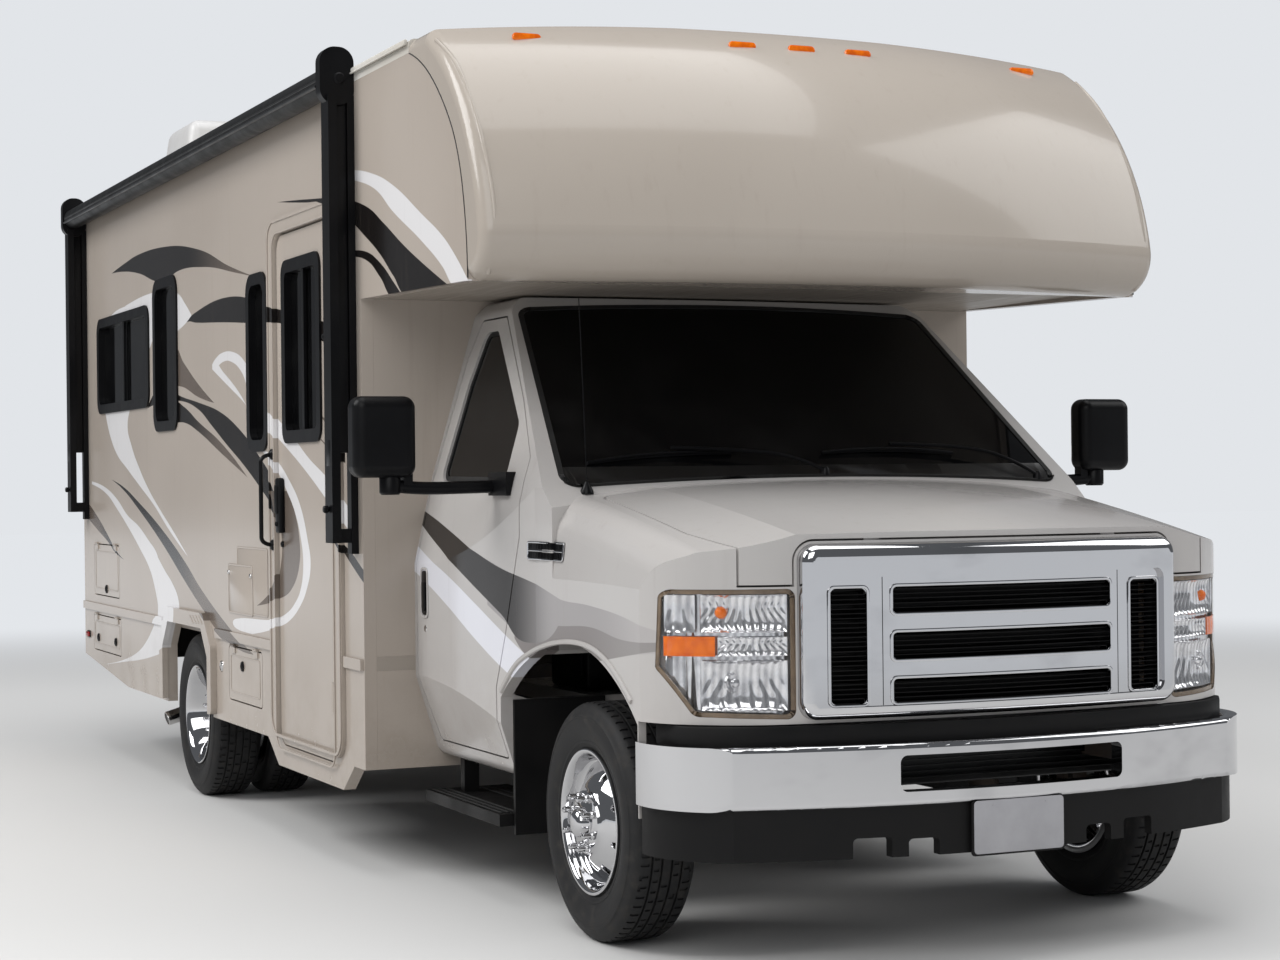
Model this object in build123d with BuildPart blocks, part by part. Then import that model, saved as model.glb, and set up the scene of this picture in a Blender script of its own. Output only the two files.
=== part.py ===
from build123d import *
import os
from math import cos, radians, sin

# A motorhome on a van cutaway chassis, in millimetres.
# +X forward, +Y to the vehicle's left, +Z up, ground at z = 0, middle of the length at x = 0.

overall_length = 7400
front_overhang = 880
wheelbase = 4013
coach_half_width = 1250
wall_thickness = 45
coach_front_x = 1425
coach_rear_x = -3620
skirt_z = 390
floor_top_z = 790
floor_thickness = 50
roof_edge_z = 2885
roof_crown = 50
roof_thickness = 47
cabover_z = 2060
seat_gap = 0.3
panel_gap = 6

tyre_radius = 366
tyre_width = 222
rim_radius = 222
front_track = 1762
rear_track = 1974
dual_spacing = 264
kingpin_y = 790
spindle_radius = 35
hub_radius = 45
running_fit = 0.05

cab_half_width = 1000
door_bulge = 60
cab_wall = 40
cab_floor_z = 690
cowl_z = 1410
windshield_base_x = 2530
windshield_base_z = 1385
windshield_top_x = 1780
windshield_top_z = 2005
windshield_crown = 38
glass_thickness = 6

rail_y = 430
rail_height = 180
rail_width = 70

front_axle_x = overall_length / 2 - front_overhang
rear_axle_x = front_axle_x - wheelbase
front_tyre_y = front_track / 2
inner_y = coach_half_width - wall_thickness
wall_top_z = roof_edge_z - roof_thickness - seat_gap
floor_bottom_z = floor_top_z - floor_thickness
rail_top_z = floor_bottom_z - seat_gap
rail_bottom_z = rail_top_z - rail_height
cab_top_z = cabover_z - 8
cab_rear_x = coach_front_x + seat_gap
beyond_front = overall_length / 2 + 100
beyond_side = coach_half_width + 50
sides = {"right": -1, "left": 1}

os.makedirs("parts", exist_ok=True)


def span_y(side, near, far):
    """Limits along Y, low first, of a piece that lies from near to far on one side."""
    return sorted((side * near, side * far))


def block(x, y, z, mode=Mode.ADD):
    """A block between three pairs of limits."""
    with Locations(((x[0] + x[1]) / 2, (y[0] + y[1]) / 2, (z[0] + z[1]) / 2)):
        Box(x[1] - x[0], y[1] - y[0], z[1] - z[0], mode=mode)


def profile(points, plane, depth, radius=0, mode=Mode.ADD):
    """A closed outline on a plane, rounded at its corners and extruded."""
    with BuildSketch(plane) as outline:
        with BuildLine():
            Polyline(*points, close=True)
        make_face()
        if radius:
            fillet(outline.vertices(), radius)
    extrude(outline.sketch, amount=depth, mode=mode)


def side_profile(points, y, radius=0, mode=Mode.ADD):
    """An outline in X and Z, extruded between two limits of Y."""
    profile(points, Plane.XZ.offset(-y[1]), y[1] - y[0], radius, mode)


def front_profile(points, x, radius=0, mode=Mode.ADD):
    """An outline in Y and Z, extruded between two limits of X."""
    profile(points, Plane.YZ.offset(x[0]), x[1] - x[0], radius, mode)


def plan_profile(points, z, radius=0, mode=Mode.ADD):
    """An outline in X and Y, extruded between two limits of Z."""
    profile(points, Plane.XY.offset(z[0]), z[1] - z[0], radius, mode)


def rectangle(x, z, grow=0):
    """The corners of a rectangle, grown all round."""
    low_x, high_x = x[0] - grow, x[1] + grow
    low_z, high_z = z[0] - grow, z[1] + grow
    return [(low_x, low_z), (high_x, low_z), (high_x, high_z), (low_x, high_z)]


def save(piece, label):
    """Names a finished piece and writes it."""
    piece.part.label = label
    export_step(piece.part, f"parts/{label}.step")


# Openings in the coach's walls: name, limits of x and z, corner radius, and whether it slides.
right_windows = [
    {"x": (-3170, -1976), "z": (1799, 2265), "radius": 60, "slider": True},
    {"x": (-1840, -1385), "z": (1676, 2365), "radius": 70, "slider": False},
    {"x": (-110, 175), "z": (1555, 2250), "radius": 70, "slider": False},
]
left_windows = [
    {"x": (-3170, -1976), "z": (1799, 2265), "radius": 60, "slider": True},
    {"x": (-900, 300), "z": (1676, 2265), "radius": 60, "slider": True},
]
windows = {"right": right_windows, "left": left_windows}
frame_width = 32
frame_lip = 9

# Doors of the baggage compartments on the right-hand side, hinged along the top edge.
baggage_doors = [
    {"name": "hatch_rear_upper", "x": (-3350, -2710), "z": (825, 1100), "depth": 420},
    {"name": "hatch_rear_lower", "x": (-3380, -2680), "z": (530, 724), "depth": 620},
    {"name": "hatch_forward", "x": (-495, 50), "z": (490, 724), "depth": 620},
]
hatch_thickness = 28
hatch_pin = 6
box_wall = 8

entry_x = (320, 1085)
entry_z = (377, 2390)
entry_radius = 70
arch_x = (rear_axle_x - 446, rear_axle_x + 418)
arch_top_z = 775
step_box_z = 291
step_box_x = (128, 285, 1158, 1293)
rear_taper_x = -2525
rear_skirt_z = 495

# The seam between the side walls and the moulded nose above the cab, from its foot to the roof.
seam = [(2534, 2036), (2536, 2173), (2465, 2463), (2301, 2657), (2107, 2798), (1985, wall_top_z)]


def wall_outline():
    """The outline of a side wall, with the arch, the step housing and the part above the cab."""
    return [
        (coach_rear_x, rear_skirt_z),
        (rear_taper_x, skirt_z),
        (arch_x[0], skirt_z),
        (arch_x[0], arch_top_z - 120),
        (arch_x[0] + 110, arch_top_z),
        (arch_x[1] - 110, arch_top_z),
        (arch_x[1], arch_top_z - 120),
        (arch_x[1], skirt_z),
        (step_box_x[0], skirt_z),
        (step_box_x[1], step_box_z),
        (step_box_x[2], step_box_z),
        (step_box_x[3], skirt_z),
        (coach_front_x, skirt_z),
        (coach_front_x, cabover_z),
        (2510, 2038),
    ]


# Side walls, each one sandwich panel with its windows, door and hatches cut out.
for name, side in sides.items():
    with BuildPart() as wall:
        limits = span_y(side, inner_y, coach_half_width)
        shifted_seam = [(x - seat_gap, z) for x, z in seam]
        side_profile(wall_outline() + shifted_seam + [(coach_rear_x, wall_top_z)], limits)
        for window in windows[name]:
            side_profile(rectangle(window["x"], window["z"]), limits, window["radius"], Mode.SUBTRACT)
        if name == "right":
            side_profile(rectangle(entry_x, entry_z), limits, entry_radius, Mode.SUBTRACT)
            for door in baggage_doors:
                side_profile(rectangle(door["x"], door["z"]), limits, 25, Mode.SUBTRACT)
    save(wall, f"wall_{name}")

rear_window_y = (-560, 560)
rear_window_z = (1560, 2100)
with BuildPart() as wall_rear:
    outline = [(-inner_y, rear_skirt_z), (inner_y, rear_skirt_z), (inner_y, wall_top_z), (-inner_y, wall_top_z)]
    inset = [(y - seat_gap if y > 0 else y + seat_gap, z) for y, z in outline]
    front_profile(inset, (coach_rear_x, coach_rear_x + wall_thickness))
    window_outline = rectangle(rear_window_y, rear_window_z)
    front_profile(window_outline, (coach_rear_x, coach_rear_x + wall_thickness), 60, Mode.SUBTRACT)
save(wall_rear, "wall_rear")

# The wall between cab and coach, open between the seats and the cabin.
with BuildPart() as wall_front:
    front_x = (coach_front_x - wall_thickness, coach_front_x)
    edge = inner_y - seat_gap
    block(front_x, (-edge, edge), (skirt_z, cabover_z - seat_gap))
    opening = [(-820, floor_top_z - 95), (820, floor_top_z - 95), (760, 1960), (-760, 1960)]
    front_profile(opening, front_x, 90, Mode.SUBTRACT)
    block(front_x, (-680, 680), (skirt_z, 700), Mode.SUBTRACT)
    block(front_x, (-edge, edge), (floor_bottom_z - seat_gap, floor_top_z + seat_gap), Mode.SUBTRACT)
save(wall_front, "wall_front")

# The floor of the cabin with its step opening, and the floor of the bed above the cab.
step_x = (entry_x[0] + 30, entry_x[1] - 30)
step_y = (-inner_y, -760)
cabover_floor_front = 2490
with BuildPart() as floors:
    floor_x = (coach_rear_x + wall_thickness + seat_gap, coach_front_x)
    block(floor_x, (-inner_y + seat_gap, inner_y - seat_gap), (floor_bottom_z, floor_top_z))
    block(step_x, step_y, (floor_bottom_z, floor_top_z), Mode.SUBTRACT)
    bed_x = (coach_front_x - wall_thickness, cabover_floor_front)
    block(bed_x, (-inner_y + seat_gap, inner_y - seat_gap), (cabover_z, cabover_z + 45))
save(floors, "floors")


def crown_outline(z_edge, rise, half, drop):
    """A crowned roof section in Y and Z, made as a face in the sketch."""
    with BuildLine() as section:
        ThreePointArc((-half, z_edge), (0, z_edge + rise), (half, z_edge))
        Polyline((half, z_edge), (half, z_edge - drop), (-half, z_edge - drop), (-half, z_edge))
    make_face(section.edges())


roof_front_x = seam[-1][0] - 0.5
with BuildPart() as coach_roof:
    with BuildSketch(Plane.YZ.offset(coach_rear_x)):
        crown_outline(roof_edge_z, roof_crown, coach_half_width, roof_thickness)
    extrude(amount=roof_front_x - coach_rear_x)
    fillet(coach_roof.edges().filter_by(Axis.X).group_by(Axis.Z)[-1], 22)
    fillet(coach_roof.edges().filter_by(Axis.Z).group_by(Axis.X)[0], 20)
save(coach_roof, "coach_roof")

# The moulded nose over the cab: a front profile turned about a far upright axis gives its crown.
nose_crown = 170
nose_edge_half = coach_half_width - 40
nose_radius = (nose_edge_half**2 + nose_crown**2) / (2 * nose_crown)
nose_shell = 40
nose_half_turn = 22
nose_foot_z = 2036
nose_front = [(2858, nose_foot_z), (2690, 2580), (2270, 2930)]
nose_chin = 140
nose_ridge = 48
nose_axis_x = nose_front[0][0] - nose_radius


def nose_solid(inset, mode=Mode.ADD):
    """The crowned nose, or its hollow at an inset from its outside."""
    turn = radians(-nose_half_turn)
    outward = (cos(turn), sin(turn), 0)
    plane = Plane(origin=(nose_axis_x, 0, 0), x_dir=outward, z_dir=(sin(turn), -cos(turn), 0))
    brow = [(x - nose_axis_x - inset, z - 0.5 * inset) for x, z in nose_front[1:]]
    chin = (nose_front[0][0] - nose_axis_x - inset, nose_foot_z + inset)
    back = 1000 - nose_axis_x
    with BuildSketch(plane) as section:
        with BuildLine():
            Line((back, chin[1]), chin)
            ThreePointArc(chin, *brow)
            Polyline(brow[1], (back, brow[1][1]), (back, chin[1]))
        make_face()
        fillet(section.vertices().sort_by(Axis.Y)[:2].sort_by(Axis.X)[-1], nose_chin - inset)
    revolve(section.sketch, axis=Axis((nose_axis_x, 0, 0), (0, 0, 1)), revolution_arc=2 * nose_half_turn, mode=mode)


with BuildPart() as nose_hollow:
    nose_solid(nose_shell)
    block((1500, 3000), (-inner_y, inner_y), (2000, 3000), Mode.INTERSECT)
    with BuildSketch(Plane.YZ.offset(900)) as crown:
        crown_outline(roof_edge_z - nose_shell, roof_crown, coach_half_width, 1200)
    extrude(crown.sketch, amount=2500, mode=Mode.INTERSECT)

with BuildPart() as cabover_nose:
    nose_solid(0)
    with BuildSketch(Plane.YZ.offset(900)) as crown:
        crown_outline(roof_edge_z, roof_crown, coach_half_width, 1200)
    extrude(crown.sketch, amount=2500, mode=Mode.INTERSECT)
    ridge = [edge for edge in cabover_nose.edges() if abs(edge.center().Y) > coach_half_width - 1]
    fillet([edge for edge in ridge if edge.center().X > 1800 and edge.center().Z > nose_foot_z + 1], nose_ridge)
    add(nose_hollow.part, mode=Mode.SUBTRACT)
    behind = [(900, 1990), (seam[0][0], 1990)] + seam + [(seam[-1][0], 3100), (900, 3100)]
    side_profile(behind, (-1400, 1400), mode=Mode.SUBTRACT)
save(cabover_nose, "cabover_nose")

# Shape of the cab: half widths by height for the cabin, and outlines across the bonnet by x.
cabin_section = [(-30, 430), (60, 720), (60, 1120), (-5, cowl_z), (-180, windshield_top_z), (-230, cab_top_z)]
cabin_round = 55
bonnet_rear_x = 2380
nose_face_x = 3600
bonnet_sections = {
    bonnet_rear_x: [(0, 1100), (-14, 1300), (-75, 1385), (-360, 1404), (-cab_half_width, 1412)],
    2990: [(0, 1100), (-22, 1215), (-85, 1285), (-360, 1335), (-cab_half_width, 1366)],
    nose_face_x + 20: [(0, 1080), (-25, 1125), (-110, 1162), (-360, 1237), (-cab_half_width, 1248)],
}
bonnet_round = 100
cowl_rear_x = 2470
bumper_end_x = 3255
shell_front_z = 712


def half_outline(section, inset, foot, head):
    """A section's corners on both sides, inset, with its foot and head at given heights."""
    half = [(cab_half_width + dy - inset, z) for dy, z in section]
    half[0] = (half[0][0], foot)
    half[-1] = (half[-1][0], head)
    return half + [(-y, z) for y, z in reversed(half)]


def cabin_profile(inset, foot, head, x, mode=Mode.ADD):
    """The cabin's section between two limits of x."""
    front_profile(half_outline(cabin_section, inset, foot, head), x, cabin_round, mode)


def cab_plan(inset, mode=Mode.INTERSECT):
    """The cab's outline from above, narrower towards the front and crowned across its face."""
    rear = cab_half_width + door_bulge - inset
    front = cab_half_width - inset
    lean = 0.7 * inset
    half = [(3080, front), (3330 - lean, 973 - lean), (3455 - lean, 862 - lean), (3516 - lean, 765 - lean)]
    cheek = (3547 - inset, 655)
    with BuildSketch(Plane.XY) as plan:
        with BuildLine():
            for side in sides.values():
                flank = [(x, side * y) for x, y in half]
                ThreePointArc((cab_rear_x, side * rear), (1980, side * ((rear + front) / 2 + 14)), (2450, side * front))
                Line((2450, side * front), flank[0])
                ThreePointArc(*flank[:3])
                ThreePointArc(flank[2], flank[3], (cheek[0], side * cheek[1]))
            ThreePointArc(cheek, (nose_face_x - inset, 0), (cheek[0], -cheek[1]))
            Polyline((cab_rear_x, -rear), (900, -rear), (900, rear), (cab_rear_x, rear))
        make_face()
    extrude(plan.sketch, amount=3000, mode=mode)


windshield_back = windshield_base_x - windshield_top_x
windshield_up = windshield_top_z - windshield_base_z
windshield_run = (windshield_back**2 + windshield_up**2) ** 0.5
windshield_rise = (-windshield_back / windshield_run, 0, windshield_up / windshield_run)
windshield_origin = (windshield_base_x, 0, windshield_base_z)
windshield_plane = Plane(
    origin=windshield_origin, x_dir=(0, 1, 0), z_dir=(windshield_rise[2], 0, -windshield_rise[0])
)
windshield_foot = (940, 0)
windshield_head = (800, windshield_run)


def behind_windshield(inset, mode=Mode.ADD):
    """All that lies behind the windscreen's crowned surface, or behind an inset of it."""
    reach = beyond_side
    edge = windshield_crown * ((reach / windshield_foot[0]) ** 2 - 1) + inset
    with BuildSketch(Plane(origin=windshield_origin, x_dir=(0, 1, 0), z_dir=windshield_rise)) as across:
        with BuildLine():
            ThreePointArc((-reach, edge), (0, inset - windshield_crown), (reach, edge))
            Polyline((reach, edge), (reach, 2600), (-reach, 2600), (-reach, edge))
        make_face()
    extrude(across.sketch, amount=2500, both=True, mode=mode)


def cabin_solid(inset, rear, foot, front=2595):
    """The cabin from the floor to its roof, behind the windscreen's slope."""
    cabin_profile(inset, foot, cab_top_z - inset, (rear, front))
    behind_windshield(inset, Mode.INTERSECT)


def bonnet_solid(inset, rear, foot):
    """The engine's space from the cowl to the grille, under the bonnet's curve."""
    ribs = []
    for x, section in bonnet_sections.items():
        half = [(cab_half_width + dy - inset, z - inset) for dy, z in section[:-1]]
        other = [(-y, z) for y, z in reversed(half)]
        with BuildSketch(Plane.YZ.offset(x)) as rib:
            with BuildLine():
                Polyline((other[-1][0], foot), (half[0][0], foot), *half)
                ThreePointArc(half[-1], (0, section[-1][1] - inset), other[0])
                Polyline(*other, (other[-1][0], foot))
            make_face()
            shoulder = [v for v in rib.vertices() if v.Y > section[0][1] and abs(v.X) > cab_half_width - 200]
            fillet(shoulder, bonnet_round)
        ribs.append(rib.sketch.face())
    loft(ribs)
    block((rear, nose_face_x + 20), (-beyond_side, beyond_side), (foot - 10, 1600), Mode.INTERSECT)


with BuildPart() as cabin_outer:
    cabin_solid(0, cab_rear_x, 430)
with BuildPart() as bonnet_outer:
    bonnet_solid(0, bonnet_rear_x, 430)
with BuildPart() as cab_outer:
    add(cabin_outer.part)
    add(bonnet_outer.part)
    cab_plan(0)
with BuildPart() as cabin_inner:
    cabin_solid(cab_wall, 1000, cab_floor_z, cowl_rear_x - cab_wall)
    cab_plan(cab_wall)
bonnet_wall = 25
with BuildPart() as bonnet_inner:
    bonnet_solid(bonnet_wall, cowl_rear_x, 300)
    cab_plan(bonnet_wall)
door_thickness = 62
with BuildPart() as door_inner:
    cabin_profile(door_thickness, 300, cab_top_z, (1000, 2700))
    cab_plan(door_thickness)

# Outlines seen from the side: the cab's door and its window, and the arch over the front wheel.
door_outline = [
    (1500, 490), (1448, 720), (1441, 1400), (1470, 1850), (1530, 1985), (1770, 1985),
    (2150, 1681), (2350, 1487), (2345, 1229), (2235, 899), (2166, 730), (2172, 490),
]


def door_front_edge(low, high):
    """A hinge strap's outline between two heights, up to the door opening's front edge."""
    (foot_x, foot_z), (head_x, head_z) = door_outline[9], door_outline[8]
    if high < foot_z:
        (foot_x, foot_z), (head_x, head_z) = door_outline[10], door_outline[9]
    slope = (head_x - foot_x) / (head_z - foot_z)
    low_x = foot_x + slope * (low - foot_z) - 2 * seat_gap
    high_x = foot_x + slope * (high - foot_z) - 2 * seat_gap
    return [(low_x - 40, low), (low_x, low), (high_x, high), (low_x - 40, high)]


door_window = [(1530, 1412), (1550, 1750), (1600, 1935), (1720, 1935), (2165, 1600), (2170, 1405)]
arch_front = {"x": (2195, 3240), "foot": 700, "top": 905, "top_x": 2790}

def windshield_outline(shrink):
    """The corners of the windscreen on its own plane."""
    foot_y, foot_v = windshield_foot[0] - shrink, windshield_foot[1] + shrink
    head_y, head_v = windshield_head[0] - shrink, windshield_head[1] - shrink
    return [(-foot_y, foot_v), (foot_y, foot_v), (head_y, head_v), (-head_y, head_v)]


def arch_cut(y, grow=0):
    """Takes the front wheel's arch out of the wing."""
    x = arch_front["x"]
    foot = arch_front["foot"]
    with BuildSketch(Plane.XZ.offset(-y[1])) as arch:
        with BuildLine():
            Line((x[0] - grow, 200), (x[0] - grow, foot))
            ThreePointArc((x[0] - grow, foot), (arch_front["top_x"], arch_front["top"] + grow), (x[1] + grow, foot))
            Polyline((x[1] + grow, foot), (x[1] + grow, 200), (x[0] - grow, 200))
        make_face()
    extrude(arch.sketch, amount=y[1] - y[0], mode=Mode.SUBTRACT)


grille_y = 638
grille_z = (722, 1222)
grille_round = 50
lamp_outline = [(644, 726), (905, 735), (978, 870), (972, 1096), (644, 1096)]
lamp_round = 26
hood_outline = [(2620, 848), (3250, 846), (3420, 818), (3700, 762)]
hood_foot_z = 1102
strip = 8


def lamp_corners(side, grow):
    """The corners of a headlamp's face on one side, grown all round."""
    middle_y = (lamp_outline[0][0] + lamp_outline[2][0]) / 2
    middle_z = (lamp_outline[0][1] + lamp_outline[3][1]) / 2
    corners = []
    for y, z in lamp_outline:
        corners.append((side * (y + (grow if y > middle_y else -grow)), z + (grow if z > middle_z else -grow)))
    return corners


def hood_zone(gap):
    """Where the hood lies: inside its shut lines, above the lamps and the grille, less a gap."""
    half = [(x + (gap if x < 3000 else 0), y - gap) for x, y in hood_outline]
    plan_profile(half + [(x, -y) for x, y in reversed(half)], (hood_foot_z + gap, 1500), 40)
    over_grille = rectangle((-grille_y, grille_y), (grille_z[0] - 100, grille_z[1]), strip + gap)
    front_profile(over_grille, (3300, beyond_front), grille_round + strip + gap, Mode.SUBTRACT)


with BuildPart() as hood_opening:
    hood_zone(0)
with BuildPart() as hood_reach:
    hood_zone(panel_gap)
with BuildPart() as cab_shell:
    add(cab_outer.part)
    add(cabin_inner.part, mode=Mode.SUBTRACT)
    add(bonnet_inner.part, mode=Mode.SUBTRACT)
    block((1000, 2330), (-870, 870), (400, 640), Mode.SUBTRACT)
    block((2300, cowl_rear_x + 10), (-960, 960), (400, 640), Mode.SUBTRACT)
    block((bumper_end_x - 10, beyond_front), (-beyond_side, beyond_side), (400, shell_front_z), Mode.SUBTRACT)
    for side in sides.values():
        side_profile(door_outline, span_y(side, 700, beyond_side), 18, Mode.SUBTRACT)
        arch_cut(span_y(side, 560, beyond_side))
        front_profile(lamp_corners(side, seat_gap), (3200, beyond_front), lamp_round, Mode.SUBTRACT)
    profile(windshield_outline(0), windshield_plane.offset(-50), 150, 60, Mode.SUBTRACT)
    add(hood_opening.part, mode=Mode.SUBTRACT)
    front_profile(rectangle((-grille_y, grille_y), grille_z), (3300, beyond_front), grille_round, Mode.SUBTRACT)
save(cab_shell, "cab_shell")

hood_rest_z = grille_z[1] + strip + seat_gap
with BuildPart() as hood:
    add(bonnet_outer.part)
    cab_plan(0)
    add(hood_reach.part, mode=Mode.INTERSECT)
    add(bonnet_inner.part, mode=Mode.SUBTRACT)
    for side in sides.values():
        block((3557, 3569), span_y(side, 380, 430), (hood_rest_z, hood_rest_z + 10))
save(hood, "hood")

with BuildPart() as windshield_inside:
    behind_windshield(3 + glass_thickness)
with BuildPart() as windshield:
    profile(windshield_outline(seat_gap), windshield_plane.offset(-40), 120, 60)
    behind_windshield(3, Mode.INTERSECT)
    add(windshield_inside.part, mode=Mode.SUBTRACT)
save(windshield, "windshield")

# Cab doors with their glass and mirrors.
with BuildPart() as door_clearance:
    cabin_profile(-seat_gap, 430, cab_top_z, (1400, 2600))
    cab_plan(-seat_gap)
mirror_head = {"x": (2055, 2165), "y": (1292, 1505), "z": (1425, 1690)}
for name, side in sides.items():
    reach = span_y(side, 600, beyond_side)
    with BuildPart() as door:
        cabin_profile(0, 430, cab_top_z, (1400, 2600))
        cab_plan(0)
        with BuildSketch(Plane.XZ.offset(-reach[1])) as leaf:
            with BuildLine():
                Polyline(*door_outline, close=True)
            make_face()
            fillet(leaf.vertices(), 18)
            offset(amount=-panel_gap)
        extrude(leaf.sketch, amount=reach[1] - reach[0], mode=Mode.INTERSECT)
        add(door_inner.part, mode=Mode.SUBTRACT)
        side_profile(door_window, reach, 45, Mode.SUBTRACT)
        for low in (780, 1090):
            strap = [(x, z) for x, z in door_front_edge(low, low + 60)]
            side_profile(strap, span_y(side, 978, 1002))
    save(door, f"cab_door_{name}")
    with BuildPart() as pane_blank:
        cabin_profile(20, 300, cab_top_z, (1000, 2700))
        cab_plan(20)
    with BuildPart() as pane:
        cabin_profile(14, 500, cab_top_z, (1400, 2600))
        cab_plan(14)
        with BuildSketch(Plane.XZ.offset(-reach[1])) as opening:
            with BuildLine():
                Polyline(*door_window, close=True)
            make_face()
            fillet(opening.vertices(), 45)
            offset(amount=-seat_gap)
        extrude(opening.sketch, amount=reach[1] - reach[0], mode=Mode.INTERSECT)
        add(pane_blank.part, mode=Mode.SUBTRACT)
    save(pane, f"cab_glass_{name}")
    with BuildPart() as mirror:
        head = mirror_head
        block(head["x"], span_y(side, *head["y"]), head["z"])
        fillet(mirror.edges(), 38)
        arm_x = (2090, 2130)
        block(arm_x, span_y(side, 980, 1330), (1376, 1404))
        block(arm_x, span_y(side, 1300, 1330), (1390, 1440))
        block((2085, 2250), span_y(side, 960, 1022), (1362, 1440))
        add(door_clearance.part, mode=Mode.SUBTRACT)
    save(mirror, f"mirror_{name}")

# Front face: grille, its black louvres, headlamps, and the bright bumper with its slot.
face_crown = 62


def face_arc(x_edge, half, x_middle, back):
    """A plan outline crowned forward, between two half widths and back to a straight line."""
    with BuildLine() as outline:
        ThreePointArc((x_edge, -half), (x_middle, 0), (x_edge, half))
        Polyline((x_edge, half), (back, half), (back, -half), (x_edge, -half))
    make_face(outline.edges())


grille_edge_x = 3556
grille_stand = 42
grille_bezel = 36
insert_y = 580
insert_z = (758, 1128)
insert_depth = 14


def grille_block(inset):
    """The grille's crowned body behind its face, or behind an inset of it."""
    face_x = grille_edge_x + grille_stand - inset
    with BuildSketch(Plane.XY.offset(grille_z[0] - 20)) as crown:
        face_arc(face_x - 4, grille_y + 20, face_x + face_crown, 3480)
    extrude(crown.sketch, amount=grille_z[1] - grille_z[0] + 40)


with BuildPart() as insert_cut:
    front_profile(rectangle((-insert_y, insert_y), insert_z), (3500, beyond_front), 30)
with BuildPart() as insert_body:
    grille_block(insert_depth)
with BuildPart() as grille:
    grille_block(0)
    face_outline = rectangle((-grille_y, grille_y), grille_z, -seat_gap)
    front_profile(face_outline, (3400, beyond_front), grille_round, Mode.INTERSECT)
    front_edges = [edge for edge in grille.edges() if edge.center().X > grille_edge_x + 20]
    fillet(front_edges, grille_bezel)
    add(insert_cut.part - insert_body.part, mode=Mode.SUBTRACT)
    for side in sides.values():
        front_profile(rectangle(span_y(side, 450, 560), (764, 1096)), (3400, beyond_front), 22, Mode.SUBTRACT)
    for low, high in ((765, 835), (889, 967), (1021, 1098)):
        front_profile(rectangle((-372, 372), (low, high)), (3400, beyond_front), 18, Mode.SUBTRACT)
    with BuildSketch(Plane.XY.offset(grille_z[0] + 30)) as hollow:
        face_arc(grille_edge_x - 20, grille_y - 40, grille_edge_x + face_crown - 8, 3400)
    extrude(hollow.sketch, amount=grille_z[1] - grille_z[0] - 70, mode=Mode.SUBTRACT)
save(grille, "grille")

louvre_count = 9
with BuildPart() as grille_louvres:
    for index in range(louvre_count):
        z = 765 + index * 45
        with BuildSketch(Plane.XY.offset(z)) as slat:
            face_arc(grille_edge_x - 52, grille_y - 40 - seat_gap, grille_edge_x + face_crown - 52, 3482)
        extrude(slat.sketch, amount=9)
    block((3470, 3482), (-grille_y + 60, grille_y - 60), (755, 1150))
save(grille_louvres, "grille_louvres")

with BuildPart() as headlamps:
    add(bonnet_outer.part)
    cab_plan(0)
    with BuildSketch(Plane.YZ.offset(3290)) as lamps:
        for side in sides.values():
            with BuildLine():
                Polyline(*lamp_corners(side, 0), close=True)
            make_face()
        fillet(lamps.vertices(), lamp_round)
    extrude(lamps.sketch, amount=500, mode=Mode.INTERSECT)
save(headlamps, "headlamps")

bumper_z = (474, 655)
bumper_cheek = (3556, 850)


def bumper_plan(inset, thickness):
    """The bumper's plan: crowned across the front, turned back at both ends."""
    half = [(overall_length / 2 - inset, 0), (bumper_cheek[0] - inset, bumper_cheek[1] - inset / 2)]
    half += [(3445 - inset, 972 - inset), (bumper_end_x, 1014 - inset)]
    inner = [(half[0][0] - thickness - 8, 0), (half[1][0] - thickness, half[1][1] - thickness)]
    inner += [(half[2][0] - thickness * 0.7, half[2][1] - thickness * 0.7), (bumper_end_x, half[3][1] - thickness)]
    with BuildLine() as outline:
        for points in (half, inner):
            ThreePointArc((points[1][0], -points[1][1]), points[0], points[1])
            for side in sides.values():
                ThreePointArc(*[(x, side * y) for x, y in points[1:]])
        for side in sides.values():
            Line((half[3][0], side * half[3][1]), (inner[3][0], side * inner[3][1]))
    make_face(outline.edges())


with BuildPart() as front_bumper:
    with BuildSketch(Plane.XY.offset(bumper_z[0])) as plan:
        bumper_plan(0, 44)
    extrude(plan.sketch, amount=bumper_z[1] - bumper_z[0])
    rims = front_bumper.faces().filter_by(Axis.Z).edges()
    fillet([edge for edge in rims if edge.center().X > 3600], 16)
    front_profile(rectangle((-377, 377), (516, 620)), (3500, beyond_front), 22, Mode.SUBTRACT)
save(front_bumper, "front_bumper")

# Black pieces below the doors and bumper: valance, running boards and mud flaps.
valance_z = (330, bumper_z[0] - seat_gap)
board_x = (1440, 2180)
flap_x = (2195 + seat_gap, 2210)
with BuildPart() as lower_trim:
    with BuildSketch(Plane.XY.offset(valance_z[0])) as plan:
        bumper_plan(18, 26)
    extrude(plan.sketch, amount=valance_z[1] - valance_z[0])
    for side in sides.values():
        front_profile(rectangle(span_y(side, 395, 510), (300, 388)), (3400, beyond_front), 14, Mode.SUBTRACT)
        front_profile(rectangle(span_y(side, 250, 345), (300, 380)), (3400, beyond_front), 14, Mode.SUBTRACT)
        block(board_x, span_y(side, 720, 1030), (272, 312))
        for x in (1560, 2080):
            block((x - 20, x + 20), span_y(side, 880, 935), (312, 430 - seat_gap))
save(lower_trim, "lower_trim")
with BuildPart() as mud_flaps:
    for side in sides.values():
        block(flap_x, span_y(side, 660, 985), (245, 690))
save(mud_flaps, "mud_flaps")

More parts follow.
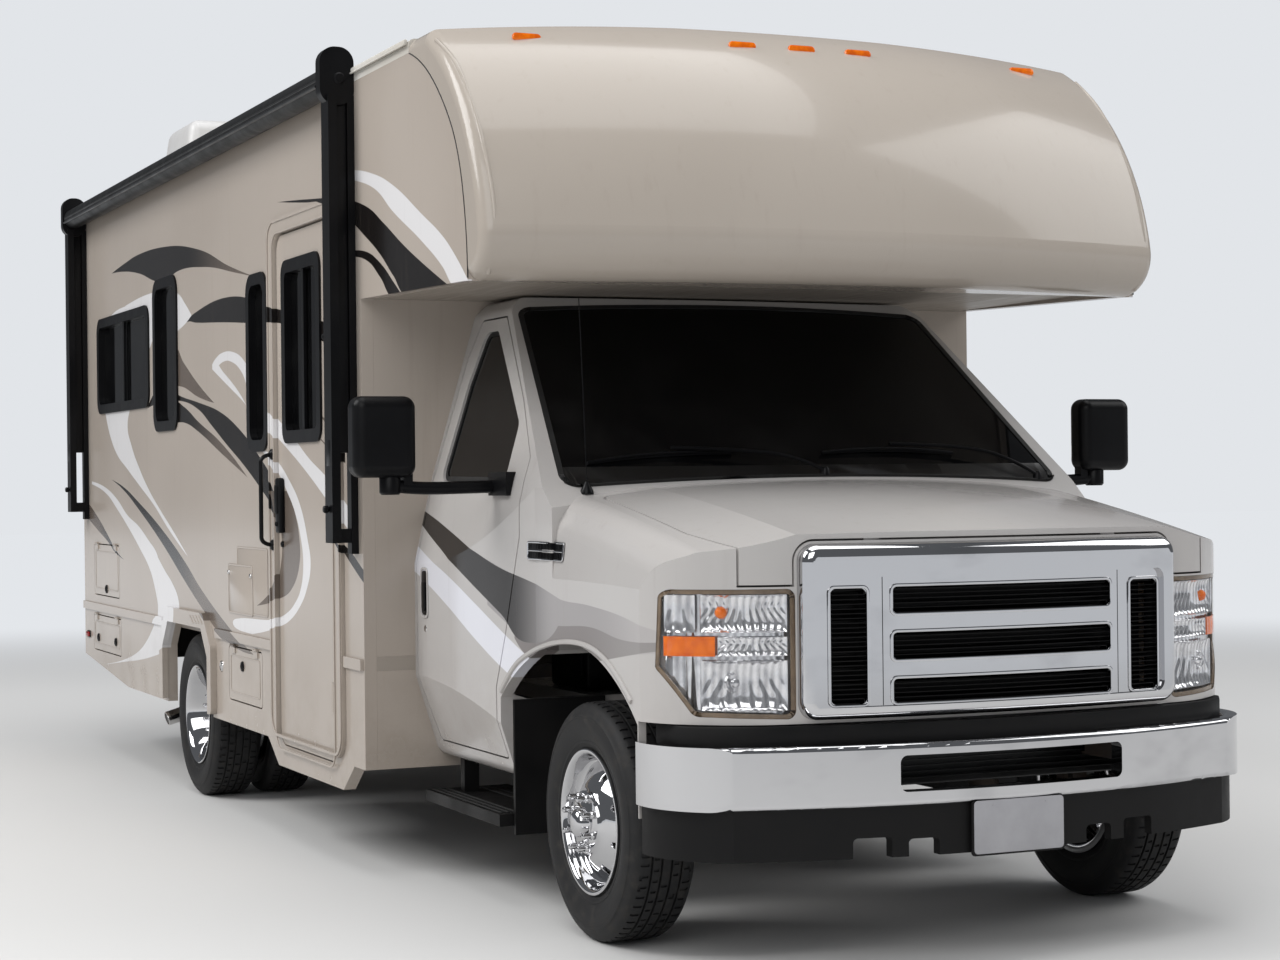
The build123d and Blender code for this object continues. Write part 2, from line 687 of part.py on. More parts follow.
# Frame: two channel rails with cross members, hangers for the springs and arms to the bumpers.
rail_x = (-3560, 3470)
cross_members = (-3300, -2350, -1700, -600, 300, 1150, 3300)
spring_span = 640
spring_eye_z = 588
with BuildPart() as chassis_frame:
    for side in sides.values():
        block(rail_x, span_y(side, rail_y - rail_width / 2, rail_y + rail_width / 2), (rail_bottom_z, rail_top_z))
        web = span_y(side, rail_y - rail_width / 2 - 1, rail_y + rail_width / 2 - 8)
        block(rail_x, web, (rail_bottom_z + 8, rail_top_z - 8), Mode.SUBTRACT)
        for x in (rear_axle_x - spring_span, rear_axle_x + spring_span):
            hanger_y = span_y(side, rail_y + rail_width / 2 - 8, 575)
            block((x - 35, x + 35), hanger_y, (spring_eye_z + seat_gap, 650))
        block((3460, 3601.5), span_y(side, rail_y - 40, rail_y + 40), (rail_bottom_z, 650))
    for x in cross_members:
        half = rail_y - rail_width / 2 + 62
        block((x - 35, x + 35), (-half, half), (rail_bottom_z + 8, rail_bottom_z + 88))
    block((1000, 3460), (-500, 500), (636, 760), Mode.SUBTRACT)
save(chassis_frame, "chassis_frame")

# Axles, springs and propeller shaft under the frame.
beam_end = kingpin_y - 45
gearbox_rear_x = 1500
knuckle_z = (270, 462)
knuckle_half = 28
ear_thickness = 12
shaft_z = 485
shaft_x = (rear_axle_x + 90, gearbox_rear_x - seat_gap)
housing_radius = 175
with BuildPart() as axles:
    with Locations((rear_axle_x, 0, tyre_radius)):
        Cylinder(60, 2 * 780, rotation=(90, 0, 0))
        Cylinder(hub_radius, 2 * 1130, rotation=(90, 0, 0))
        Cylinder(housing_radius, 260, rotation=(90, 0, 0))
    for side in sides.values():
        with BuildSketch(Plane.XZ.offset(-span_y(side, 500, 565)[1])) as leaf:
            with BuildLine():
                ends = [rear_axle_x - spring_span - 30, rear_axle_x + spring_span + 30]
                low_z = spring_eye_z - 28
                ThreePointArc((ends[0], spring_eye_z), (rear_axle_x, 432), (ends[1], spring_eye_z))
                Line((ends[1], spring_eye_z), (ends[1], low_z))
                ThreePointArc((ends[1], low_z), (rear_axle_x, 388), (ends[0], low_z))
                Line((ends[0], low_z), (ends[0], spring_eye_z))
            make_face()
        extrude(leaf.sketch, amount=65)
    with Locations(((shaft_x[0] + shaft_x[1]) / 2, 0, shaft_z)):
        Cylinder(40, shaft_x[1] - shaft_x[0], rotation=(0, 90, 0))
    block((2765, 2875), (-beam_end, beam_end), (330, 385))
    ear_z = (knuckle_z[0] - seat_gap - ear_thickness, knuckle_z[1] + seat_gap + ear_thickness)
    ear_x = (front_axle_x - 25, front_axle_x + 25)
    spring_z = (380, rail_bottom_z - seat_gap)
    for side in sides.values():
        with Locations((front_axle_x, side * rail_y, (spring_z[0] + spring_z[1]) / 2)):
            Cylinder(50, spring_z[1] - spring_z[0])
        block(ear_x, span_y(side, beam_end - 12, beam_end), ear_z)
        block(ear_x, span_y(side, beam_end - 12, kingpin_y + 15), (ear_z[0], ear_z[0] + ear_thickness))
        block(ear_x, span_y(side, beam_end - 12, kingpin_y + 15), (ear_z[1] - ear_thickness, ear_z[1]))
save(axles, "axles")

# Engine as one plain block with its gearbox, carried by two arms on the rails.
with BuildPart() as engine_block:
    block((2480, 3200), (-330, 330), (500, 1060))
    fillet(engine_block.edges().filter_by(Axis.X), 60)
    block((gearbox_rear_x, 2490), (-170, 170), (440, 555))
    arm_y = rail_y - rail_width / 2 - seat_gap
    block((2790, 2890), (-arm_y, arm_y), (rail_bottom_z, rail_bottom_z + 50))
save(engine_block, "engine_block")

# Fuel tank, silencer and exhaust pipe, and the shaft to the rear axle.
exhaust_z = 500
exhaust_route = [
    (1900, -600, exhaust_z), (150, -600, exhaust_z), (-150, -300, exhaust_z),
    (-1940, -300, exhaust_z), (-1940, -800, 390), (-1925, 60 - coach_half_width, 280),
]
with BuildPart() as tank_and_exhaust:
    tank_y = rail_y - rail_width / 2 - seat_gap
    block((-3150, -2450), (-tank_y, tank_y), (490, 700))
    fillet(tank_and_exhaust.edges().filter_by(Axis.Y), 50)
    with BuildLine() as pipe:
        FilletPolyline(*exhaust_route, radius=90)
    with BuildSketch(Plane(origin=pipe.line @ 0, z_dir=pipe.line % 0)):
        Circle(28)
    sweep(path=pipe.line)
    with Locations((560, -600, exhaust_z)):
        Cylinder(95, 620, rotation=(0, 90, 0))
    block((540, 580), (-560, -rail_y - rail_width / 2 - seat_gap), (rail_bottom_z + 1, rail_bottom_z + 31))
save(tank_and_exhaust, "tank_and_exhaust")


def wheel_plane(side, x, y):
    """A plane through a wheel's centre: local X along the radius, local Y outward along the axle."""
    return Plane(origin=(x, side * y, tyre_radius), x_dir=(1, 0, 0), z_dir=(0, 0, side))


def tyre_section():
    """Half of a tyre's cross section, revolved about the axle."""
    bead = 88
    with BuildLine() as outline:
        Line((rim_radius - 15, -bead), (rim_radius + 2, -bead))
        ThreePointArc((rim_radius + 2, -bead), (292, -tyre_width / 2), (350, -96))
        Polyline((350, -96), (tyre_radius, -80), (tyre_radius, 80), (350, 96))
        ThreePointArc((350, 96), (292, tyre_width / 2), (rim_radius + 2, bead))
        Polyline((rim_radius + 2, bead), (rim_radius - 15, bead), (rim_radius - 15, -bead))
    make_face(outline.edges())


def barrel_section(middle):
    """A rim's barrel with its two flanges, about a plane at a distance along the axle."""
    inner = rim_radius - 26
    bead = 88
    low, high = middle - bead, middle + bead
    points = [
        (inner, low - 14), (rim_radius, low - 14), (rim_radius, low - seat_gap), (rim_radius - 15.3, low - seat_gap),
        (rim_radius - 15.3, high + seat_gap), (rim_radius, high + seat_gap), (rim_radius, high + 14),
        (inner, high + 14),
    ]
    with BuildLine() as outline:
        Polyline(*points, close=True)
    make_face(outline.edges())


front_dish = [
    (196, 78), (186, 52), (172, 48), (118, 84), (96, 92), (88, 104), (72, 112), (62, 150), (0, 158),
    (0, 95), (spindle_radius + running_fit, 95), (spindle_radius + running_fit, -30), (70, -30), (80, 50),
    (120, 68), (170, 36), (196, 36),
]
outer_tyre_y = rear_track / 2 + dual_spacing / 2
rear_dish = [
    (196, 80), (188, 60), (150, -62), (128, -84), (90, -88), (84, 20), (76, 34), (0, 40),
    (0, 14), (hub_radius + running_fit, 14), (hub_radius + running_fit, -190), (120, -190), (120, -142),
    (150, -118), (196, -118),
]
hand_holes = 8
for name, side in sides.items():
    front_plane = wheel_plane(side, front_axle_x, front_tyre_y)
    rear_plane = wheel_plane(side, rear_axle_x, outer_tyre_y)
    with BuildPart() as tyre:
        with BuildSketch(front_plane) as section:
            tyre_section()
        revolve(section.sketch, axis=Axis(front_plane.origin, front_plane.y_dir))
    save(tyre, f"tyre_front_{name}")
    with BuildPart() as rim:
        with BuildSketch(front_plane) as section:
            barrel_section(0)
            with BuildLine() as dish:
                Polyline(*front_dish, close=True)
            make_face(dish.edges())
        revolve(section.sketch, axis=Axis(front_plane.origin, front_plane.y_dir))
        face = Plane(origin=front_plane.origin, x_dir=(1, 0, 0), z_dir=(0, side, 0))
        with Locations(face):
            with PolarLocations(145, hand_holes):
                Cylinder(15, 400, mode=Mode.SUBTRACT)
    save(rim, f"rim_front_{name}")
    with BuildPart() as tyres:
        for y in (outer_tyre_y, outer_tyre_y - dual_spacing):
            plane = wheel_plane(side, rear_axle_x, y)
            with BuildSketch(plane) as section:
                tyre_section()
            revolve(section.sketch, axis=Axis(plane.origin, plane.y_dir))
    save(tyres, f"tyres_rear_{name}")
    with BuildPart() as rims:
        with BuildSketch(rear_plane) as section:
            barrel_section(0)
            barrel_section(-dual_spacing)
            with BuildLine() as dish:
                Polyline(*rear_dish, close=True)
            make_face(dish.edges())
            with BuildLine() as bridge:
                Polyline((196, -90), (196, -180), (200, -180), (200, -90), close=True)
            make_face(bridge.edges())
        revolve(section.sketch, axis=Axis(rear_plane.origin, rear_plane.y_dir))
    save(rims, f"rims_rear_{name}")
    with BuildPart() as knuckle:
        knuckle_x = (front_axle_x - knuckle_half, front_axle_x + knuckle_half)
        block(knuckle_x, span_y(side, kingpin_y - knuckle_half, kingpin_y + knuckle_half), knuckle_z)
        spindle_end = front_tyre_y + 70
        with Locations((front_axle_x, side * (kingpin_y + spindle_end) / 2, tyre_radius)):
            Cylinder(spindle_radius, spindle_end - kingpin_y, rotation=(90, 0, 0))
    save(knuckle, f"knuckle_{name}")

# Window frames with an outside lip, and the dark panes set in them.


def frame_ring(plane, window, depth, hole):
    """A frame through the wall with a lip over the outside, drawn on the wall's outer face."""
    profile(rectangle(window["x"], window["z"], -seat_gap), plane, -depth, window["radius"])
    lip = rectangle(window["x"], window["z"], 16)
    profile(lip, plane.offset(seat_gap), frame_lip, window["radius"] + 16)
    opening = rectangle(window["x"], window["z"], -hole)
    profile(opening, plane.offset(frame_lip + 5), -depth - 60, window["radius"] - hole / 2, Mode.SUBTRACT)


def wall_plane(side):
    """The outside face of a side wall, its normal outward."""
    if side < 0:
        return Plane(origin=(0, -coach_half_width, 0), x_dir=(1, 0, 0), z_dir=(0, -1, 0))
    return Plane(origin=(0, coach_half_width, 0), x_dir=(-1, 0, 0), z_dir=(0, 1, 0))


def mirrored(window):
    """The same opening with its x limits as the left wall's plane counts them."""
    low, high = window["x"]
    return {**window, "x": (-high, -low)}


rear_plane_outside = Plane(origin=(coach_rear_x, 0, 0), x_dir=(0, -1, 0), z_dir=(-1, 0, 0))
rear_window = {"x": rear_window_y, "z": rear_window_z, "radius": 60, "slider": False}
framed = [(wall_plane(-1), window) for window in right_windows]
framed += [(wall_plane(1), mirrored(window)) for window in left_windows]
framed += [(rear_plane_outside, rear_window)]
with BuildPart() as window_frames:
    for plane, window in framed:
        frame_ring(plane, window, wall_thickness, frame_width)
        if window["slider"]:
            middle = sum(window["x"]) / 2
            low, high = window["z"]
            profile(rectangle((middle - 16, middle + 16), (low + 20, high - 20)), plane.offset(-2), -14)
save(window_frames, "window_frames")

with BuildPart() as window_glass:
    for plane, window in framed:
        shrunk = rectangle(window["x"], window["z"], -frame_width - seat_gap)
        profile(shrunk, plane.offset(-20), -5, window["radius"] - frame_width / 2)
save(window_glass, "window_glass")

# The entry door with its window, hinged along its forward edge.
entry_window = {"x": (430, 922), "z": (1581, 2263), "radius": 45}
door_leaf = 42
entry_hinge_x = entry_x[1] + 3
entry_pin = 10
handle_x = (360, 402)
handle_z = (1225, 1420)
with BuildPart() as entry_door:
    plane = wall_plane(-1)
    profile(rectangle(entry_x, entry_z, -panel_gap), plane, -door_leaf, entry_radius - panel_gap)
    profile(rectangle(entry_window["x"], entry_window["z"]), plane, -door_leaf, entry_window["radius"], Mode.SUBTRACT)
    profile(rectangle(handle_x, handle_z), plane, 22, 12)
    cup_z = (handle_z[0] + 25, handle_z[1] - 25)
    profile(rectangle(handle_x, cup_z, -6), plane.offset(12), 12, 8, Mode.SUBTRACT)
    for z in (620, 1380, 2150):
        with Locations((entry_hinge_x, -coach_half_width - entry_pin, z)):
            Cylinder(entry_pin - seat_gap, 110)
        block((entry_hinge_x - 46, entry_hinge_x), (-coach_half_width - entry_pin, -coach_half_width), (z - 55, z + 55))
save(entry_door, "entry_door")
with BuildPart() as entry_window_frame:
    frame_ring(wall_plane(-1), entry_window, door_leaf, 34)
    low, high = entry_window["z"]
    profile(rectangle((664, 692), (low + 20, high - 20)), wall_plane(-1).offset(-2), -12)
save(entry_window_frame, "entry_window_frame")
with BuildPart() as entry_window_glass:
    shrunk = rectangle(entry_window["x"], entry_window["z"], -34 - seat_gap)
    profile(shrunk, wall_plane(-1).offset(-18), -5, entry_window["radius"] - 17)
save(entry_window_glass, "entry_window_glass")

# Baggage doors flush in the skirt, the boxes behind them, and the step well inside the entry.
for door in baggage_doors:
    with BuildPart() as leaf:
        profile(rectangle(door["x"], door["z"], -panel_gap), wall_plane(-1), -hatch_thickness, 19)
        top = door["z"][1]
        for x in (door["x"][0] + 90, door["x"][1] - 90):
            with Locations((x, -coach_half_width - hatch_pin, top + 2)):
                Cylinder(hatch_pin - seat_gap, 60, rotation=(0, 90, 0))
            block((x - 30, x + 30), (-coach_half_width - hatch_pin, -coach_half_width), (top - 30, top - 2))
    save(leaf, door["name"])
with BuildPart() as baggage_boxes:
    for door in baggage_doors:
        low_x, high_x = door["x"]
        low_z, high_z = door["z"]
        y = (-inner_y + seat_gap, -inner_y + door["depth"])
        rise = 0 if low_z > floor_top_z else -seat_gap
        block((low_x - 10, high_x + 10), y, (low_z - 10, high_z + 10 + rise))
        inside = (-inner_y - 5, y[1] - box_wall)
        block((low_x - 2, high_x + 2), inside, (low_z - 2, high_z + 2), Mode.SUBTRACT)
save(baggage_boxes, "baggage_boxes")
tread = 12
with BuildPart() as entry_step:
    well_x = (step_x[0] + seat_gap, step_x[1] - seat_gap)
    y = (-inner_y + seat_gap, -760 - seat_gap)
    block(well_x, y, (381, floor_top_z))
    block((well_x[0] + tread, well_x[1] - tread), (y[0] - 1, -960), (381 + tread, 900), Mode.SUBTRACT)
    block((well_x[0] + tread, well_x[1] - tread), (-962, y[1] - tread), (585, 900), Mode.SUBTRACT)
    block((well_x[0] + tread, well_x[1] - tread), (-960 + tread, y[1] + 5), (300, 585 - tread), Mode.SUBTRACT)
save(entry_step, "entry_step")

# Raised trim: the belt rails, the surround of the entry and the mouldings over the rear wheels.
belt_z = (742, 782)
trim_out = 12
belt_runs = {
    "right": [(coach_rear_x + 10, arch_x[0] - 72), (arch_x[1] + 72, 222), (1205, coach_front_x - 12)],
    "left": [(coach_rear_x + 10, arch_x[0] - 72), (arch_x[1] + 72, coach_front_x - 12)],
}
flare = 65
with BuildPart() as side_trim:
    for name, side in sides.items():
        reach = span_y(side, coach_half_width + seat_gap, coach_half_width + trim_out)
        for run in belt_runs[name]:
            block(run, reach, belt_z)
        outside = [(arch_x[0] - flare, 405), (arch_x[0] - flare, 700), (arch_x[0] + 80, arch_top_z + flare)]
        outside += [(arch_x[1] - 80, arch_top_z + flare), (arch_x[1] + flare, 700), (arch_x[1] + flare, 405)]
        inside = [(arch_x[0] + 2, 300), (arch_x[0] + 2, arch_top_z - 121), (arch_x[0] + 111, arch_top_z - 2)]
        inside += [(arch_x[1] - 111, arch_top_z - 2), (arch_x[1] - 2, arch_top_z - 121), (arch_x[1] - 2, 300)]
        wide = span_y(side, coach_half_width + seat_gap, coach_half_width + 28)
        side_profile(outside, wide, 30)
        side_profile(inside, wide, mode=Mode.SUBTRACT)
    profile(rectangle((232, 1196), (403, 2458)), wall_plane(-1).offset(seat_gap), 14, 90)
    profile(rectangle((entry_x[0], entry_x[1] + 17), (330, entry_z[1])), wall_plane(-1), 30, entry_radius, Mode.SUBTRACT)
save(side_trim, "side_trim")

# The rolled awning under the roof's edge with its two folded double arms.
awning_x = (-3500, 1350)
awning_cap = 26
awning_y = coach_half_width + 66
awning_z = 2846
arm_half = 44
with BuildPart() as awning:
    with Locations(((awning_x[0] + awning_x[1]) / 2, -awning_y, awning_z)):
        Cylinder(52, awning_x[1] - awning_x[0] - 2 * (awning_cap + seat_gap), rotation=(0, 90, 0))
save(awning, "awning_roller")
with BuildPart() as awning_arms:
    for x, foot in ((awning_x[0], 1226), (awning_x[1], 1156)):
        out_y = -coach_half_width - seat_gap
        block((x - arm_half, x + arm_half), (-awning_y - 36, -awning_y - 4), (foot + 40, awning_z - 60))
        block((x - 24, x + 24), (out_y - 26, out_y), (foot, awning_z - 60))
        block((x - 19, x + 19), (-awning_y - 34, out_y - 20), (foot + 40, foot + 90))
        cap_outline = rectangle((-awning_y - 60, out_y), (awning_z - 94, awning_z + 112))
        front_profile(cap_outline, (x - awning_cap, x + awning_cap), 56)
save(awning_arms, "awning_arms")

# On the roof: the cooler in the middle and the vent's cover near the right-hand edge.
with BuildPart() as roof_units:
    with BuildSketch(Plane.XY.offset(roof_edge_z + roof_crown + seat_gap)) as base:
        with Locations((-700, 0)):
            RectangleRounded(1040, 720, 90)
    extrude(base.sketch, amount=290, taper=12)
    with BuildSketch(Plane.XY.offset(roof_edge_z)) as vent:
        with Locations((-2180, 370 - coach_half_width)):
            RectangleRounded(560, 400, 60)
    extrude(vent.sketch, amount=300, taper=9)
    fillet(roof_units.faces().group_by(Axis.Z)[-1].edges(), 24)
    with BuildSketch(Plane.YZ.offset(-2700)) as crown:
        crown_outline(roof_edge_z + seat_gap, roof_crown, coach_half_width, 400)
    extrude(crown.sketch, amount=2500, mode=Mode.SUBTRACT)
save(roof_units, "roof_units")

# Rear: lamps, ladder and bumper.
tail_lamp_z = (880, 1250)
rear_edge_y = coach_half_width - 100
with BuildPart() as tail_lamps:
    for side in sides.values():
        y = span_y(side, rear_edge_y - 130, rear_edge_y)
        block((coach_rear_x - 28, coach_rear_x - seat_gap), y, tail_lamp_z)
save(tail_lamps, "tail_lamps")
with BuildPart() as ladder:
    rails_y = (600, 960)
    for y in rails_y:
        block((coach_rear_x - 62, coach_rear_x - 34), (y - 14, y + 14), (760, 2905))
        for z in (900, 2300, 2800):
            block((coach_rear_x - 40, coach_rear_x - seat_gap), (y - 14, y + 14), (z - 12, z + 12))
    for z in range(820, 2900, 290):
        block((coach_rear_x - 60, coach_rear_x - 36), (rails_y[0], rails_y[1]), (z - 12, z + 12))
save(ladder, "ladder")
bumper_back = -overall_length / 2
with BuildPart() as rear_bumper:
    block((bumper_back, coach_rear_x - seat_gap), (-rear_edge_y, rear_edge_y), (500, 620))
    fillet(rear_bumper.edges().filter_by(Axis.Y), 14)
save(rear_bumper, "rear_bumper")

# Inside: cab seats and cushions, dashboard with its wheel, and the cabin's furniture.
furniture_y = inner_y - 15
rear_cabinet_top_z = 1125
with BuildPart() as seats:
    for side in sides.values():
        block((1620, 2110), span_y(side, 250, 740), (960, 1090))
        block((1540, 1650), span_y(side, 250, 740), (1090 + seat_gap, 1700))
        block((1690, 2040), span_y(side, 330, 660), (cab_floor_z + seat_gap, 959.5))
    block((-3560, -2000), (-furniture_y, -500), (rear_cabinet_top_z, 1300))
    block((1500, 2440), (40 - furniture_y, furniture_y - 40), (cabover_z + 45 + seat_gap, 2240))
    block((-1300, -300), (-furniture_y, -650), (floor_top_z + seat_gap, 1180))
save(seats, "seats")
with BuildPart() as dashboard:
    block((2130, cowl_rear_x - cab_wall - seat_gap), (-860, 860), (1120, 1330))
    fillet(dashboard.edges().filter_by(Axis.Y), 50)
    with Locations(Plane(origin=(2080, 450, 1300), x_dir=(0, 1, 0), z_dir=(-0.9, 0, 0.44))):
        Torus(180, 15)
        Cylinder(26, 240, align=(Align.CENTER, Align.CENTER, Align.MAX))
        Box(360, 24, 16)
save(dashboard, "dashboard")
with BuildPart() as cabinets:
    block((-3560, -2000), (-furniture_y, -500), (floor_top_z + seat_gap, rear_cabinet_top_z - seat_gap))
    upper = baggage_doors[0]
    room_x = (upper["x"][0] - 12, upper["x"][1] + 12)
    room_z = (upper["z"][0] - 12, upper["z"][1] + 12)
    block(room_x, (-beyond_side, -inner_y + upper["depth"] + 2), room_z, Mode.SUBTRACT)
    block((-1900, -200), (640, furniture_y), (floor_top_z + seat_gap, 1650))
    block((-3560, -2700), (300, furniture_y), (floor_top_z + seat_gap, 2780))
    block((200, 1200), (700, furniture_y), (floor_top_z + seat_gap, 1250))
save(cabinets, "cabinets")
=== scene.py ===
import math

import bpy
from mathutils import Matrix, Vector


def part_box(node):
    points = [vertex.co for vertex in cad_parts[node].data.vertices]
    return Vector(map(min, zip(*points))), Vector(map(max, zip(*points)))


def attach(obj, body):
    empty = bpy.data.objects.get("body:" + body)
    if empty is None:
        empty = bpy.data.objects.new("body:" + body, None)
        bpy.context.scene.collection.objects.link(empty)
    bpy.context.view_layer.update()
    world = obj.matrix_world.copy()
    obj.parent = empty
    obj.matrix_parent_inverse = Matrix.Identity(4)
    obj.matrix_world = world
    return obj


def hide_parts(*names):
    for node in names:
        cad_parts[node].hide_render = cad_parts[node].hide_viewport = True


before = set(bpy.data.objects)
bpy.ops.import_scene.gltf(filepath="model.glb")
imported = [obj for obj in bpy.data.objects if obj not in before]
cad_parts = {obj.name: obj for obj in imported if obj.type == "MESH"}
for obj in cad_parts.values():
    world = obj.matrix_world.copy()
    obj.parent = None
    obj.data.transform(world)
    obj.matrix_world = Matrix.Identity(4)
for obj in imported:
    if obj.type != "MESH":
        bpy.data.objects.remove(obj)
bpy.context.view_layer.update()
scene = bpy.context.scene
scene.view_settings.view_transform = "Standard"
print("frame loaded")

# Camera at the photograph's place and angle, in metres and degrees.
camera = {"place": (9.586, -3.813, 1.414), "yaw": 24.03, "pitch": -0.04, "roll": -0.63, "lens": 67.5}


def placeCamera():
    yaw, pitch, roll = (math.radians(camera[key]) for key in ("yaw", "pitch", "roll"))
    ahead = Vector((-math.cos(yaw) * math.cos(pitch), math.sin(yaw) * math.cos(pitch), math.sin(pitch)))
    level = Vector((math.sin(yaw), math.cos(yaw), 0))
    upright = level.cross(ahead)
    right = level * math.cos(roll) + upright * math.sin(roll)
    top = upright * math.cos(roll) - level * math.sin(roll)
    bpy.ops.object.camera_add(location=camera["place"])
    eye = bpy.context.object
    turn = Matrix((right, top, -ahead)).transposed().to_4x4()
    eye.matrix_world = Matrix.Translation(camera["place"]) @ turn
    eye.data.lens = camera["lens"]
    eye.data.sensor_width = 36
    eye.data.clip_end = 200
    scene.camera = eye


placeCamera()
print("camera placed")


class Wire:
    # A socket of a material; arithmetic on it adds Math nodes.
    def __init__(self, tree, socket=None):
        self.tree = tree
        self.socket = socket

    def node(self, kind, settings=None, inputs=None, out=0):
        made = self.tree.nodes.new(kind)
        for name, value in (settings or {}).items():
            if name == "points":
                curve = made.mapping.curves[0]
                while len(curve.points) < len(value):
                    curve.points.new(0.5, 0.5)
                for point, place in zip(curve.points, value):
                    point.location = place
                made.mapping.update()
            else:
                setattr(made, name, value)
        for name, value in (inputs or {}).items():
            if isinstance(value, Wire):
                self.tree.links.new(value.socket, made.inputs[name])
            else:
                made.inputs[name].default_value = value
        return Wire(self.tree, made.outputs[out])

    def calc(self, operation, *terms):
        return self.node("ShaderNodeMath", {"operation": operation}, dict(enumerate(terms)))

    def __add__(self, other):
        return self.calc("ADD", self, other)

    def __sub__(self, other):
        return self.calc("SUBTRACT", self, other)

    def __rsub__(self, other):
        return self.calc("SUBTRACT", other, self)

    def __mul__(self, other):
        return self.calc("MULTIPLY", self, other)

    def __truediv__(self, other):
        return self.calc("DIVIDE", self, other)

    __radd__ = __add__
    __rmul__ = __mul__

    def wave(self, pitch):
        return self.calc("SINE", self * pitch)

    def size(self):
        return self.calc("ABSOLUTE", self)

    def least(self, other):
        return self.calc("MINIMUM", self, other)

    def rise(self, low, high):
        # From 0 at low to 1 at high, eased; low may be the larger.
        limits = {"Value": self, "From Min": low, "From Max": high}
        return self.node("ShaderNodeMapRange", {"interpolation_type": "SMOOTHSTEP"}, limits)

    def tint(self, plain, full):
        # A colour mixed by this value, from plain at 0 to full at 1.
        return self.node("ShaderNodeMix", {"data_type": "RGBA"}, {0: self, 6: plain, 7: full}, 2)

    def noise(self, scale, detail=3, roughness=0.5, stretch=(1, 1, 1)):
        place = self
        if stretch != (1, 1, 1):
            place = self.node("ShaderNodeMapping", None, {"Vector": self, "Scale": stretch})
        inputs = {"Vector": place, "Scale": scale, "Detail": detail, "Roughness": roughness}
        return self.node("ShaderNodeTexNoise", None, inputs)

    def parts(self):
        made = self.node("ShaderNodeSeparateXYZ", None, {0: self})
        outputs = made.socket.node.outputs
        return [Wire(self.tree, output) for output in outputs]


def srgb(red, green, blue):
    # A colour written in screen values of 0 to 255.
    def linear(value):
        value = value / 255
        return value / 12.92 if value <= 0.04045 else ((value + 0.055) / 1.055) ** 2.4
    return (linear(red), linear(green), linear(blue), 1)


def openFinish(name, **fixed):
    # A new material with plain values on its shader, and its object coordinates.
    material = bpy.data.materials.new(name)
    material.use_nodes = True
    surface = material.node_tree.nodes["Principled BSDF"]
    for key, value in fixed.items():
        surface.inputs[key.replace("_", " ")].default_value = value
    place = Wire(material.node_tree).node("ShaderNodeTexCoord", out="Object")
    return material, surface, place


def feed(surface, **sockets):
    for key, value in sockets.items():
        value.tree.links.new(value.socket, surface.inputs[key.replace("_", " ")])


def relief(height, distance):
    return height.node("ShaderNodeBump", None, {"Height": height, "Distance": distance, "Strength": 1.0})


